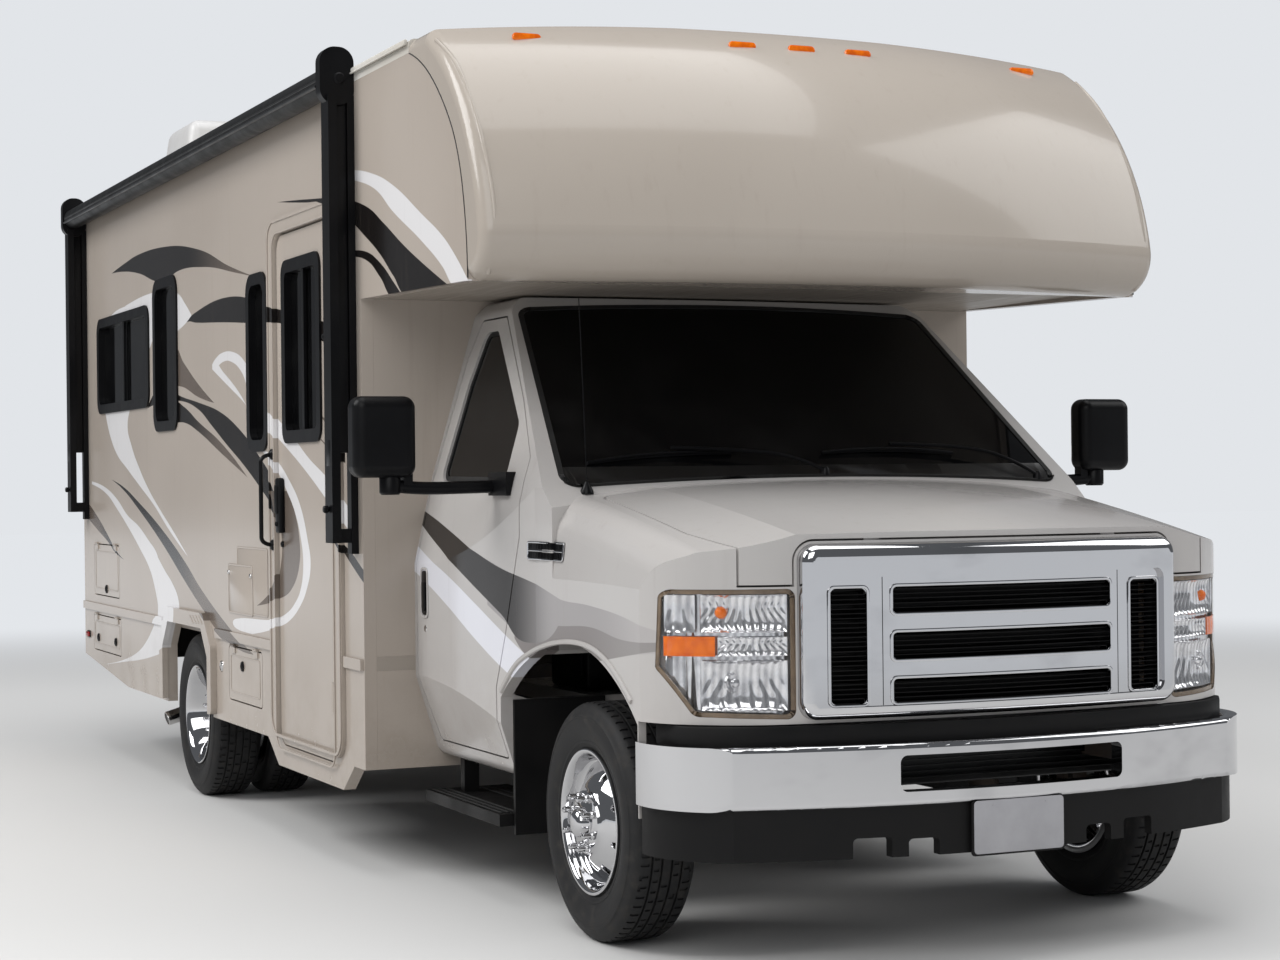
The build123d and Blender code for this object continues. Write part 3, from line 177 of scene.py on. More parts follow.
# Stripes on the side walls: each one lies between two edges that run along x or along z, in metres.
coachDark = srgb(24, 21, 20)
coachBrown = srgb(98, 88, 80)
coachWhite = srgb(214, 212, 212)
coachStripes = [
    {"tone": coachDark, "far": coachBrown, "fade": (-1.2, -0.2), "along": "x",
     "low": [(-2.83, 2.5), (-2.6, 2.49), (-2.2, 2.45), (-1.85, 2.385), (-1.65, 2.355), (-1.35, 2.39),
             (-0.9, 2.37), (-0.3, 2.295), (0.02, 2.25)],
     "high": [(-2.83, 2.5), (-2.5, 2.525), (-2.2, 2.54), (-1.6, 2.525), (-1.0, 2.46), (-0.4, 2.33),
              (0.02, 2.25)]},
    {"tone": coachDark, "along": "x",
     "low": [(-1.33, 2.11), (-1.2, 2.145), (-1.0, 2.13), (-0.5, 2.1), (0.0, 2.065), (0.27, 2.05),
             (0.6, 2.01), (1.05, 1.915), (1.28, 1.87)],
     "high": [(-1.33, 2.11), (-1.2, 2.15), (-1.0, 2.18), (-0.5, 2.205), (0.0, 2.16), (0.27, 2.11),
              (0.6, 2.06), (1.05, 1.99), (1.28, 1.87)]},
    {"tone": coachDark, "along": "x",
     "low": [(0.35, 2.52), (0.75, 2.475), (0.95, 2.455), (1.2, 2.39), (1.5, 2.27), (1.65, 2.2),
             (1.8, 2.11), (1.95, 2.03), (2.4, 2.02)],
     "high": [(0.35, 2.52), (0.75, 2.487), (1.2, 2.44), (1.5, 2.38), (1.7, 2.3), (1.9, 2.21),
              (2.1, 2.13), (2.4, 2.02)]},
    {"tone": coachDark, "along": "x",
     "low": [(1.3, 2.22), (1.5, 2.19), (1.65, 2.12), (1.8, 2.03), (1.92, 2.02)],
     "high": [(1.3, 2.24), (1.5, 2.22), (1.65, 2.17), (1.8, 2.09), (1.92, 2.02)]},
    {"tone": coachDark, "far": coachBrown, "fade": (-1.5, -0.9), "along": "x",
     "low": [(-2.88, 1.437), (-2.6, 1.385), (-2.25, 1.29), (-1.75, 1.135), (-1.25, 0.955), (-1.0, 0.87),
             (-0.6, 0.75), (-0.3, 0.71), (-0.08, 0.705)],
     "high": [(-2.88, 1.437), (-2.6, 1.4), (-2.25, 1.325), (-1.75, 1.2), (-1.25, 1.045), (-1.0, 0.95),
              (-0.5, 0.8), (-0.3, 0.75), (-0.08, 0.705)]},
    {"tone": coachBrown, "far": coachDark, "fade": (-3.3, -2.9), "along": "x",
     "low": [(-3.6, 1.25), (-3.25, 1.17), (-3.0, 1.115), (-2.8, 1.06), (-2.6, 1.03)],
     "high": [(-3.6, 1.34), (-3.25, 1.24), (-3.0, 1.15), (-2.8, 1.075), (-2.6, 1.03)]},
    {"tone": coachDark, "along": "x",
     "low": [(-2.02, 1.78), (-1.7, 1.8), (-1.3, 1.79), (-1.0, 1.745), (-0.75, 1.665), (-0.5, 1.58),
             (-0.25, 1.5), (0.0, 1.41), (0.27, 1.3), (0.35, 1.26)],
     "high": [(-2.02, 1.78), (-1.7, 1.87), (-1.3, 1.81), (-1.0, 1.775), (-0.6, 1.72), (-0.3, 1.645),
              (0.0, 1.535), (0.27, 1.4), (0.35, 1.26)]},
    {"tone": coachDark, "far": coachBrown, "fade": (-1.2, -0.5), "along": "x",
     "low": [(-1.74, 1.76), (-1.5, 1.7), (-1.25, 1.69), (-1.0, 1.645), (-0.6, 1.545), (-0.15, 1.435)],
     "high": [(-1.74, 1.76), (-1.5, 1.8), (-1.25, 1.76), (-1.0, 1.69), (-0.6, 1.59), (-0.15, 1.435)]},
    {"tone": coachBrown, "along": "x",
     "low": [(-1.72, 1.99), (-1.5, 1.88), (-1.25, 1.85), (-1.0, 1.8), (-0.7, 1.762)],
     "high": [(-1.72, 1.99), (-1.5, 2.06), (-1.25, 1.96), (-1.0, 1.86), (-0.7, 1.762)]},
    {"tone": coachBrown, "far": coachDark, "fade": (1.1, 1.2), "along": "x",
     "low": [(0.9, 1.665), (1.05, 1.61), (1.22, 1.575)],
     "high": [(0.9, 1.67), (1.05, 1.63), (1.22, 1.61)]},
    {"tone": coachBrown, "far": coachDark, "fade": (1.1, 1.2), "along": "x",
     "low": [(0.9, 1.575), (1.05, 1.525), (1.22, 1.48)],
     "high": [(0.9, 1.58), (1.05, 1.54), (1.22, 1.52)]},
    {"tone": coachDark, "along": "x",
     "low": [(1.1, 1.2), (1.25, 1.13), (1.4, 1.065), (1.425, 1.055)],
     "high": [(1.1, 1.2), (1.25, 1.17), (1.4, 1.11), (1.425, 1.1)]},
    {"tone": coachBrown, "along": "z",
     "low": [(0.91, -0.02), (0.95, 0.12), (1.0, 0.26), (1.1, 0.35), (1.2, 0.36), (1.3, 0.3), (1.38, 0.24)],
     "high": [(0.91, -0.02), (0.95, 0.3), (1.0, 0.5), (1.1, 0.61), (1.2, 0.61), (1.3, 0.55), (1.38, 0.46)]},
]
whiteStripes = [
    {"tone": coachWhite, "along": "x",
     "low": [(-3.4, 1.415), (-3.0, 1.36), (-2.75, 1.285), (-2.5, 1.2), (-2.25, 1.105), (-2.0, 0.995),
             (-1.9, 0.91), (-1.84, 0.83), (-1.835, 0.76)],
     "high": [(-3.4, 1.43), (-3.0, 1.39), (-2.75, 1.335), (-2.5, 1.255), (-2.25, 1.205), (-2.0, 1.13),
              (-1.9, 1.1), (-1.84, 1.07), (-1.835, 1.065)]},
    {"tone": coachWhite, "along": "z",
     "low": [(0.76, -1.85), (0.83, -1.84), (0.91, -1.838), (1.064, -1.836)],
     "high": [(0.76, -1.42), (0.83, -1.4), (0.88, -1.42), (0.95, -1.54), (1.0, -1.68), (1.064, -1.836)]},
    {"tone": coachWhite, "along": "x",
     "low": [(-3.05, 0.47), (-2.6, 0.513), (-2.3, 0.54), (-2.0, 0.575), (-1.75, 0.615), (-1.42, 0.72)],
     "high": [(-3.05, 0.472), (-2.6, 0.525), (-2.3, 0.58), (-2.1, 0.645), (-1.95, 0.72), (-1.85, 0.775),
              (-1.42, 0.775)]},
    {"tone": coachWhite, "along": "z",
     "low": [(1.08, -1.22), (1.2, -1.6), (1.31, -1.9), (1.4, -2.2), (1.49, -2.5), (1.57, -2.75),
             (1.66, -2.9), (1.76, -3.0), (1.9, -3.1), (2.1, -3.12), (2.27, -2.9), (2.31, -2.4)],
     "high": [(1.08, -1.22), (1.19, -1.5), (1.3, -1.8), (1.38, -2.0), (1.48, -2.2), (1.61, -2.4),
              (1.7, -2.48), (1.78, -2.43), (1.95, -2.2), (2.1, -1.9), (2.22, -1.75), (2.31, -1.9)]},
    {"tone": coachWhite, "along": "x",
     "low": [(-2.5, 2.2), (-1.9, 2.1), (-1.5, 2.09), (-1.37, 2.115), (-1.22, 2.14), (-1.1, 2.17)],
     "high": [(-2.5, 2.31), (-1.9, 2.33), (-1.5, 2.31), (-1.37, 2.29), (-1.22, 2.23), (-1.1, 2.17)]},
    {"tone": coachWhite, "along": "x",
     "low": [(-0.73, 1.91), (-0.6, 1.87), (-0.4, 1.81), (-0.25, 1.765), (0.0, 1.68), (0.25, 1.61),
             (0.5, 1.53), (0.75, 1.44), (1.0, 1.34), (1.3, 1.22)],
     "high": [(-0.73, 1.93), (-0.66, 1.955), (-0.555, 1.972), (-0.368, 1.966), (-0.2, 1.925), (0.0, 1.8),
              (0.25, 1.69), (0.5, 1.605), (0.75, 1.505), (1.0, 1.425), (1.3, 1.3)]},
    {"tone": srgb(171, 161, 151), "along": "x",
     "low": [(-0.61, 1.92), (-0.55, 1.894), (-0.424, 1.85), (-0.276, 1.792), (-0.18, 1.745), (-0.12, 1.71)],
     "high": [(-0.61, 1.922), (-0.523, 1.934), (-0.42, 1.93), (-0.24, 1.88), (-0.15, 1.81), (-0.12, 1.74)]},
    {"tone": coachWhite, "along": "z",
     "low": [(0.79, -0.15), (0.82, -0.42), (0.845, -0.3), (0.86, 0.15), (0.9, 0.42), (0.95, 0.55),
             (1.0, 0.62), (1.1, 0.66), (1.2, 0.63), (1.3, 0.55), (1.38, 0.44), (1.46, 0.3), (1.55, 0.05)],
     "high": [(0.79, -0.1), (0.82, 0.17), (0.84, 0.3), (0.87, 0.45), (0.93, 0.6), (1.0, 0.7), (1.1, 0.76),
              (1.2, 0.72), (1.33, 0.62), (1.42, 0.48), (1.5, 0.3), (1.55, 0.08)]},
    {"tone": coachWhite, "along": "x",
     "low": [(1.12, 2.535), (1.3, 2.5), (1.6, 2.43), (1.8, 2.33), (2.1, 2.2), (2.3, 2.1), (2.4, 2.03),
             (2.56, 1.98)],
     "high": [(1.12, 2.535), (1.3, 2.53), (1.6, 2.48), (1.8, 2.42), (2.1, 2.29), (2.3, 2.2), (2.4, 2.14),
              (2.56, 2.02)]},
]
cabDark = srgb(38, 35, 34)
cabGrey = srgb(150, 146, 145)
cabWhite = srgb(214, 214, 220)
cabStripes = [
    {"tone": cabWhite, "along": "x",
     "low": [(1.3, 1.12), (1.5, 1.07), (1.75, 0.985), (2.0, 0.88), (2.2, 0.8), (2.45, 0.715)],
     "high": [(1.3, 1.215), (1.5, 1.16), (1.75, 1.09), (2.0, 1.0), (2.2, 0.92), (2.45, 0.82)]},
    {"tone": cabGrey, "far": srgb(172, 168, 166), "fade": (2.9, 3.4), "along": "x",
     "low": [(2.1, 1.0), (2.4, 0.89), (2.55, 0.84), (2.9, 0.86), (3.2, 0.9), (3.5, 0.92)],
     "high": [(2.1, 1.15), (2.4, 1.085), (2.65, 1.04), (2.9, 1.03), (3.2, 1.0), (3.5, 0.93)]},
    {"tone": srgb(120, 114, 112), "far": srgb(140, 136, 134), "fade": (2.8, 3.3), "along": "x",
     "low": [(2.3, 0.9), (2.55, 0.82), (2.9, 0.86), (3.2, 0.9), (3.42, 0.93)],
     "high": [(2.3, 1.03), (2.55, 0.96), (2.9, 0.965), (3.15, 0.94), (3.42, 0.95)]},
    {"tone": cabDark, "far": cabGrey, "fade": (2.25, 2.62), "along": "x",
     "low": [(1.25, 1.32), (1.5, 1.23), (1.75, 1.15), (2.0, 1.055), (2.2, 0.975), (2.4, 0.89), (2.7, 1.03)],
     "high": [(1.25, 1.335), (1.5, 1.29), (1.75, 1.235), (2.0, 1.175), (2.2, 1.125), (2.4, 1.09),
              (2.7, 1.03)]},
]


def stripeMask(x, z, stripe):
    run, across = (x, z) if stripe["along"] == "x" else (z, x)
    first, last = stripe["low"][0][0], stripe["low"][-1][0]
    spread = [value for edge in ("low", "high") for place, value in stripe[edge]]
    floor, reach = min(spread) - 0.02, max(spread) - min(spread) + 0.04
    step = (run - first) / (last - first)
    edges = []
    for edge in ("low", "high"):
        points = [((place - first) / (last - first), (value - floor) / reach)
                  for place, value in stripe[edge]]
        edges.append(step.node("ShaderNodeFloatCurve", {"points": points}, {"Value": step}) * reach + floor)
    inside = (across - edges[0]).least(edges[1] - across).rise(-0.0012, 0.0012)
    return inside * step.rise(0, 0.0006) * (1 - step).rise(0, 0.0006)


def paintStripes(base, x, z, stripes, outer):
    for stripe in stripes:
        tone = stripe["tone"]
        if "far" in stripe:
            tone = x.rise(*stripe["fade"]).tint(tone, stripe["far"])
        base = (stripeMask(x, z, stripe) * outer).tint(base, tone)
    return base


def glossPaint(name, colour, deep, stripes, wallY, flake=0.0, coat=0.2):
    # Paint under a clear coat: soft patches, stripes on the outer skin, dust low down.
    material, surface, place = openFinish(
        name, Coat_Weight=coat, Coat_Roughness=0.03, Specular_IOR_Level=0.25, Metallic=flake
    )
    x, y, z = place.parts()
    base = place.noise(0.7, 2).rise(0.35, 0.7).tint(colour, deep)
    base = paintStripes(base, x, z, stripes, y.size().rise(wallY - 0.012, wallY - 0.006))
    dust = z.rise(0.95, 0.35) * place.noise(5, 5, 0.65).rise(0.35, 0.75) * 0.3
    streak = place.noise(3, 4, 0.6, (9, 9, 0.5)).rise(0.55, 0.8) * 0.1
    base = (dust + streak).tint(base, srgb(128, 116, 103))
    rough = place.noise(9, 4, 0.6) * 0.08 + 0.14 + dust * 0.5
    feed(surface, Base_Color=base, Roughness=rough, Normal=relief(place.noise(190, 2), 0.00012))
    return material


def plainFinish(name, colour, deep, rough=(0.4, 0.6), scale=6, grain=400, depth=0.0002, **fixed):
    # Colour and roughness that vary in soft patches, over a fine grain.
    material, surface, place = openFinish(name, **fixed)
    patch = place.noise(scale, 5, 0.6).rise(0.3, 0.72)
    feed(
        surface, Base_Color=patch.tint(colour, deep), Roughness=patch * (rough[1] - rough[0]) + rough[0],
        Normal=relief(place.noise(grain, 3), depth),
    )
    return material


def tyreFinish():
    material, surface, place = openFinish("tyreRubber", Specular_IOR_Level=0.3)
    dust = place.noise(26, 5, 0.7).rise(0.45, 0.8)
    base = (dust * 0.45).tint(srgb(26, 26, 27), srgb(70, 66, 61))
    feed(surface, Base_Color=base, Roughness=dust * 0.2 + 0.6, Normal=relief(place.noise(320, 3), 0.0003))
    return material


def chromeFinish(name, bright, dull, rough=0.04):
    # Polished metal with faint smears and a thin film of road dust.
    material, surface, place = openFinish(name, Metallic=1.0)
    smear = place.noise(3, 3, 0.6, (1, 1, 2)).rise(0.5, 0.8)
    feed(
        surface, Base_Color=smear.tint(bright, dull), Roughness=smear * 0.05 + rough,
        Normal=relief(place.noise(60, 2), 0.00005),
    )
    return material


def glassFinish(name, colour, alpha):
    material, surface, place = openFinish(name, Alpha=alpha, Coat_Weight=0.0, Specular_IOR_Level=0.14)
    film = place.noise(4, 4, 0.6).rise(0.4, 0.8)
    feed(surface, Base_Color=film.tint(colour, srgb(20, 20, 20)), Roughness=film * 0.04 + 0.02)
    return material


def lensFinish():
    # Clear moulded plastic, a little hazed where it weathers.
    material, surface, place = openFinish("clearLens", Coat_Weight=0.3, Coat_Roughness=0.02, IOR=1.49)
    haze = place.noise(14, 4, 0.6).rise(0.5, 0.85)
    base = haze.tint(srgb(96, 98, 100), srgb(120, 116, 108))
    feed(surface, Base_Color=base, Roughness=haze * 0.08 + 0.03, Alpha=haze * 0.05 + 0.05)
    return material


def reflectorFinish():
    # Upright flutes of a vacuum-plated reflector, softly shaded from cell to cell, with painted glints and
    # painted shade running light and dark across the flutes.
    material, surface, place = openFinish("reflector", Metallic=0.8)
    x, y, z = place.parts()
    cells = place.noise(16, 2, 0.5).rise(0.4, 0.65)
    fluteGlintsAndRidges = y.wave(330)
    # Painted glints and shade: the plating's colour follows the flutes' wave from bright to dark; the same
    # wave also raises the ridges.
    base = (cells * 0.25 + fluteGlintsAndRidges * 0.2 + 0.15).tint(srgb(245, 245, 247), srgb(120, 120, 126))
    feed(surface, Base_Color=base, Roughness=cells * 0.06 + 0.1, Normal=relief(fluteGlintsAndRidges, 0.0003))
    return material


def woodFinish():
    # Planks' grain on what faces up, plain board elsewhere.
    material, surface, place = openFinish("cabinWood")
    grain = place.noise(3, 6, 0.6, (1, 14, 14)).rise(0.3, 0.7)
    up = place.node("ShaderNodeNewGeometry", out=1).parts()[2].rise(0.6, 0.9)
    base = up.tint(srgb(150, 141, 131), grain.tint(srgb(132, 104, 78), srgb(92, 68, 48)))
    feed(surface, Base_Color=base, Roughness=grain * 0.2 + 0.35, Normal=relief(grain, 0.0004))
    return material


def cabinetFinish():
    material, surface, place = openFinish("cabinetWood")
    grain = place.noise(3, 6, 0.6, (14, 14, 1)).rise(0.3, 0.7)
    base = grain.tint(srgb(112, 78, 52), srgb(78, 50, 32))
    feed(surface, Base_Color=base, Roughness=grain * 0.15 + 0.3, Normal=relief(grain, 0.0003))
    return material


def clothFinish(name, colour, deep, pitch=900):
    material, surface, place = openFinish(name, Sheen_Weight=0.25)
    x, y, z = place.parts()
    weave = (x + z).wave(pitch) * (y + z).wave(pitch)
    patch = place.noise(8, 5, 0.6).rise(0.3, 0.7)
    base = (patch * 0.6 + weave * 0.15 + 0.15).tint(colour, deep)
    feed(surface, Base_Color=base, Roughness=patch * 0.1 + 0.8, Normal=relief(weave, 0.0006))
    return material


finishes = {
    "coachPaint": glossPaint(
        "coachPaint", srgb(171, 161, 151), srgb(164, 154, 144), coachStripes + whiteStripes, 1.245, coat=0.06
    ),
    "nosePaint": glossPaint("nosePaint", srgb(169, 160, 150), srgb(163, 154, 144), [], 1.245),
    "cabPaint": glossPaint("cabPaint", srgb(185, 182, 179), srgb(178, 174, 171), cabStripes, 0.94, 0.1),
    "roofSkin": plainFinish(
        "roofSkin", srgb(208, 206, 200), srgb(184, 179, 170), (0.35, 0.6), 2, 150, 0.0004
    ),
    "coolerSkin": plainFinish(
        "coolerSkin", srgb(196, 195, 194), srgb(176, 174, 171), (0.3, 0.5), 3, 150, 0.0004
    ),
    # Painted shade: besides the coach windows' dark tint, both glasses are near-black and nearly opaque,
    # standing in for the shade inside the coach and the cab.
    "darkGlass": glassFinish("darkGlass", srgb(6, 6, 7), 0.95),
    "cabGlass": glassFinish("cabGlass", srgb(7, 7, 8), 0.96),
    "blackPlastic": plainFinish(
        "blackPlastic", srgb(13, 13, 14), srgb(20, 19, 19), (0.42, 0.6), 5, 700, 0.0002,
        Specular_IOR_Level=0.2
    ),
    "satinBlack": plainFinish(
        "satinBlack", srgb(9, 9, 11), srgb(13, 13, 15), (0.3, 0.42), 4, 120, 0.0001, Specular_IOR_Level=0.16
    ),
    "cabPlain": glossPaint("cabPlain", srgb(185, 182, 179), srgb(178, 174, 171), [], 0.94, 0.1),
    "cowlBlack": plainFinish("cowlBlack", srgb(9, 9, 10), srgb(14, 14, 15), (0.3, 0.45), 6, 300, 0.0002),
    "mirrorGlass": chromeFinish("mirrorGlass", srgb(214, 220, 226), srgb(198, 204, 210), 0.02),
    "rubberSeal": plainFinish("rubberSeal", srgb(16, 16, 16), srgb(26, 26, 26), (0.6, 0.75), 20, 500, 0.0003),
    "chrome": chromeFinish("chrome", srgb(200, 200, 202), srgb(182, 182, 184)),
    "brightSteel": chromeFinish("brightSteel", srgb(206, 205, 204), srgb(178, 176, 174), 0.12),
    "clearLens": lensFinish(),
    "reflector": reflectorFinish(),
    "lampRim": plainFinish("lampRim", srgb(126, 108, 88), srgb(104, 88, 72), (0.1, 0.2), 30, 300, 0.0001),
    "amberLens": plainFinish("amberLens", srgb(240, 118, 4), srgb(208, 86, 0), (0.08, 0.14), 30, 90, 0.0006),
    "redLens": plainFinish("redLens", srgb(150, 14, 14), srgb(112, 8, 8), (0.08, 0.14), 30, 90, 0.0006),
    "plateWhite": plainFinish(
        "plateWhite", srgb(162, 161, 164), srgb(152, 151, 154), (0.35, 0.5), 8, 200, 0.0001
    ),
    "frameSteel": plainFinish("frameSteel", srgb(30, 30, 30), srgb(62, 50, 42), (0.5, 0.8), 9, 160, 0.0008),
    "castMetal": plainFinish(
        "castMetal", srgb(96, 92, 88), srgb(70, 56, 46), (0.5, 0.8), 11, 220, 0.001, Metallic=0.4
    ),
    "tyreRubber": tyreFinish(),
    "cabinWood": woodFinish(),
    "cabinetWood": cabinetFinish(),
    "cushionCloth": clothFinish("cushionCloth", srgb(122, 110, 98), srgb(88, 78, 68)),
    "seatCloth": clothFinish("seatCloth", srgb(92, 88, 84), srgb(64, 61, 58), 1300),
    "pipingCord": clothFinish("pipingCord", srgb(48, 44, 41), srgb(34, 31, 29), 2000),
    "awningCloth": plainFinish(
        "awningCloth", srgb(13, 14, 15), srgb(20, 21, 22), (0.4, 0.55), 9, 260, 0.0003, Specular_IOR_Level=0.2
    ),
    "brightMetal": plainFinish(
        "brightMetal", srgb(206, 206, 208), srgb(176, 176, 178), (0.22, 0.4), 7, 300, 0.0002, Metallic=0.9
    ),
}
nodeFinishes = {
    "coachPaint": ["wall_right", "wall_left", "wall_rear", "wall_front", "entry_door", "hatch_rear_upper",
                   "hatch_rear_lower", "hatch_forward", "side_trim"],
    "nosePaint": ["cabover_nose"],
    "cabPaint": ["cab_shell", "hood", "cab_door_right", "cab_door_left"],
    "roofSkin": ["coach_roof", "roof_units"],
    "darkGlass": ["window_glass", "entry_window_glass"],
    "cabGlass": ["windshield", "cab_glass_right", "cab_glass_left"],
    "blackPlastic": ["lower_trim", "mud_flaps", "grille_louvres", "baggage_boxes", "entry_step", "dashboard"],
    "satinBlack": ["window_frames", "entry_window_frame", "mirror_right", "mirror_left", "awning_arms",
                   "rear_bumper"],
    "chrome": ["grille", "front_bumper", "rim_front_right", "rim_front_left", "rims_rear_right",
               "rims_rear_left"],
    "clearLens": ["headlamps"],
    "redLens": ["tail_lamps"],
    "frameSteel": ["chassis_frame", "axles"],
    "castMetal": ["engine_block", "tank_and_exhaust", "knuckle_right", "knuckle_left"],
    "tyreRubber": ["tyre_front_right", "tyre_front_left", "tyres_rear_right", "tyres_rear_left"],
    "cabinWood": ["floors"],
    "cabinetWood": ["cabinets"],
    "cushionCloth": ["seats"],
    "awningCloth": ["awning_roller"],
    "brightMetal": ["ladder"],
}
for finish, nodes in nodeFinishes.items():
    for node in nodes:
        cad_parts[node].data.materials.clear()
        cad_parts[node].data.materials.append(finishes[finish])
print("finishes made:", len(finishes))

# Turns, in degrees, from the ground plane to each side, and the two sides of the vehicle.
facings = {"right": (90, 0, 0), "left": (90, 0, 180), "front": (90, 0, 90), "rear": (90, 0, -90),
           "up": (0, 0, 0)}
sides = ((-1, "right"), (1, "left"))
mergeGap = 0.00002


def deselect():
    bpy.ops.object.select_all(action="DESELECT")


def pick(piece):
    deselect()
    piece.select_set(True)
    bpy.context.view_layer.objects.active = piece


def edit(piece, select="SELECT"):
    # Opens a piece in edit mode with all or nothing selected.
    pick(piece)
    bpy.ops.object.mode_set(mode="EDIT")
    bpy.ops.mesh.select_all(action=select)


def close():
    bpy.ops.object.mode_set(mode="OBJECT")


def openFaces(piece, test):
    # Opens a piece in edit mode with only the faces selected that pass a test.
    edit(piece, "DESELECT")
    bpy.ops.mesh.select_mode(type="FACE")
    close()
    for face in piece.data.polygons:
        face.select = bool(test(face))
    bpy.ops.object.mode_set(mode="EDIT")


def mend(piece):
    # Merges doubles, drops loose points and turns the faces outwards.
    edit(piece)
    bpy.ops.mesh.remove_doubles(threshold=mergeGap)
    bpy.ops.mesh.delete_loose()
    bpy.ops.mesh.select_all(action="SELECT")
    bpy.ops.mesh.normals_make_consistent(inside=False)
    close()


def bake(piece):
    # Puts the piece's turn, size and place into its mesh.
    pick(piece)
    bpy.ops.object.transform_apply(location=True, rotation=True, scale=True)
    return piece


def finishWith(piece, kind, **settings):
    # Adds a modifier and applies it.
    pick(piece)
    modifier = piece.modifiers.new(kind.lower(), kind)
    for key, value in settings.items():
        setattr(modifier, key, value)
    bpy.ops.object.modifier_apply(modifier=modifier.name)
    return piece


def slab(low, high, bevel=0.003, segments=3):
    # A block between two corners with rounded edges.
    deselect()
    bpy.ops.mesh.primitive_cube_add(size=1, location=[(a + b) / 2 for a, b in zip(low, high)])
    piece = bpy.context.object
    piece.scale = [abs(b - a) for a, b in zip(low, high)]
    bake(piece)
    edit(piece)
    bpy.ops.mesh.bevel(offset=bevel, segments=segments, affect="EDGES")
    close()
    return piece


def put(piece, place=(0, 0, 0), facing="up"):
    # Turns a piece built on the ground plane to the side it faces, and sets it in its place.
    piece.rotation_euler = [math.radians(angle) for angle in facings[facing]]
    piece.location = place
    return bake(piece)


def flat(outline, fill="NGON"):
    # A closed outline on the ground plane.
    deselect()
    bpy.ops.mesh.primitive_circle_add(vertices=len(outline), radius=1, fill_type=fill)
    piece = bpy.context.object
    for vertex, (across, along) in zip(piece.data.vertices, outline):
        vertex.co = (across, along, 0)
    return piece


def turned(outline, steps=48):
    # A closed outline of (radius, height) pairs spun about the upright axis.
    piece = flat(outline, "NOTHING")
    for vertex in piece.data.vertices:
        vertex.co = (vertex.co.x, 0, vertex.co.y)
    edit(piece)
    bpy.ops.mesh.spin(steps=steps, angle=2 * math.pi, center=(0, 0, 0), axis=(0, 0, 1))
    close()
    mend(piece)
    return piece


def rounding(piece, width, segments=2, angle=40):
    return finishWith(
        piece, "BEVEL", width=width, segments=segments, limit_method="ANGLE", angle_limit=math.radians(angle)
    )


def plate(outline, thickness, bevel=0.0015, hole=0):
    # A flat outline given its thickness; with a hole, a frame of that width.
    piece = flat(outline)
    edit(piece)
    bpy.ops.mesh.normals_make_consistent(inside=False)
    if hole:
        bpy.ops.mesh.inset(thickness=hole)
        bpy.ops.mesh.delete(type="FACE")
        bpy.ops.mesh.select_all(action="SELECT")
    bpy.ops.mesh.extrude_region_move(TRANSFORM_OT_translate={"value": (0, 0, thickness)})
    close()
    mend(piece)
    return rounding(piece, bevel) if bevel else piece


def grid(across, along, columns, rows, height):
    # A sheet of quads over a rectangle, its height given by a function of its place.
    deselect()
    bpy.ops.mesh.primitive_grid_add(x_subdivisions=columns, y_subdivisions=rows, size=1)
    piece = bpy.context.object
    wide, tall = across[1] - across[0], along[1] - along[0]
    for vertex in piece.data.vertices:
        u, v = vertex.co.x + 0.5, vertex.co.y + 0.5
        vertex.co = height(across[0] + wide * u, along[0] + tall * v, u, v)
    return piece


def dense(piece, cuts=3):
    # Cuts every face up, so that a flat piece can follow a curved one.
    edit(piece)
    bpy.ops.mesh.subdivide(number_cuts=cuts)
    close()
    return piece


def keepRim(piece, width):
    # Leaves of an open skin only the border of that width along its edge.
    edit(piece)
    bpy.ops.mesh.select_mode(type="FACE")
    bpy.ops.mesh.inset(thickness=width, use_boundary=True)
    bpy.ops.mesh.delete(type="FACE")
    bpy.ops.mesh.select_mode(type="VERT")
    close()
    return piece


def pipe(points, radius, closed=False, sides=3):
    # A round bar along a smooth line through control points.
    deselect()
    bpy.ops.curve.primitive_nurbs_path_add()
    line = bpy.context.object
    line.data.splines.clear()
    spline = line.data.splines.new("NURBS")
    spline.points.add(len(points) - 1)
    for point, place in zip(spline.points, points):
        point.co = (*place, 1)
    spline.order_u = 3
    spline.use_endpoint_u = not closed
    spline.use_cyclic_u = closed
    spline.resolution_u = 6
    line.data.bevel_depth = radius
    line.data.bevel_resolution = sides
    line.data.use_fill_caps = True
    line.location = (0, 0, 0)
    pick(line)
    bpy.ops.object.convert(target="MESH")
    mend(bpy.context.object)
    return bpy.context.object


def rounded(x, z, radius, steps=5):
    # The outline of a rectangle with round corners, anticlockwise.
    outline = []
    corners = [(x[1] - radius, z[1] - radius, 0), (x[0] + radius, z[1] - radius, 90),
               (x[0] + radius, z[0] + radius, 180), (x[1] - radius, z[0] + radius, 270)]
    for middleX, middleZ, start in corners:
        for step in range(steps + 1):
            angle = math.radians(start + 90 * step / steps)
            outline.append((middleX + radius * math.cos(angle), middleZ + radius * math.sin(angle)))
    return outline


def joined(pieces):
    # Several meshes made one.
    deselect()
    for piece in pieces:
        piece.select_set(True)
    bpy.context.view_layer.objects.active = pieces[0]
    bpy.ops.object.join()
    return bpy.context.object


def moved(piece, shift, turn=0.0):
    # Turns the piece about the upright axis, then moves it.
    piece.rotation_euler = (0, 0, turn)
    piece.location = shift
    return bake(piece)


def copied(piece, shift=(0, 0, 0), turn=0.0):
    # A copy with its own mesh, turned and moved.
    pick(piece)
    bpy.ops.object.duplicate(linked=False)
    return moved(bpy.context.object, shift, turn)


def around(piece, count, first=0.0):
    # The piece and its copies, evenly spaced about the upright axis, as one mesh.
    twins = [copied(piece, turn=first + 2 * math.pi * index / count) for index in range(count)]
    bpy.data.objects.remove(piece)
    return joined(twins)


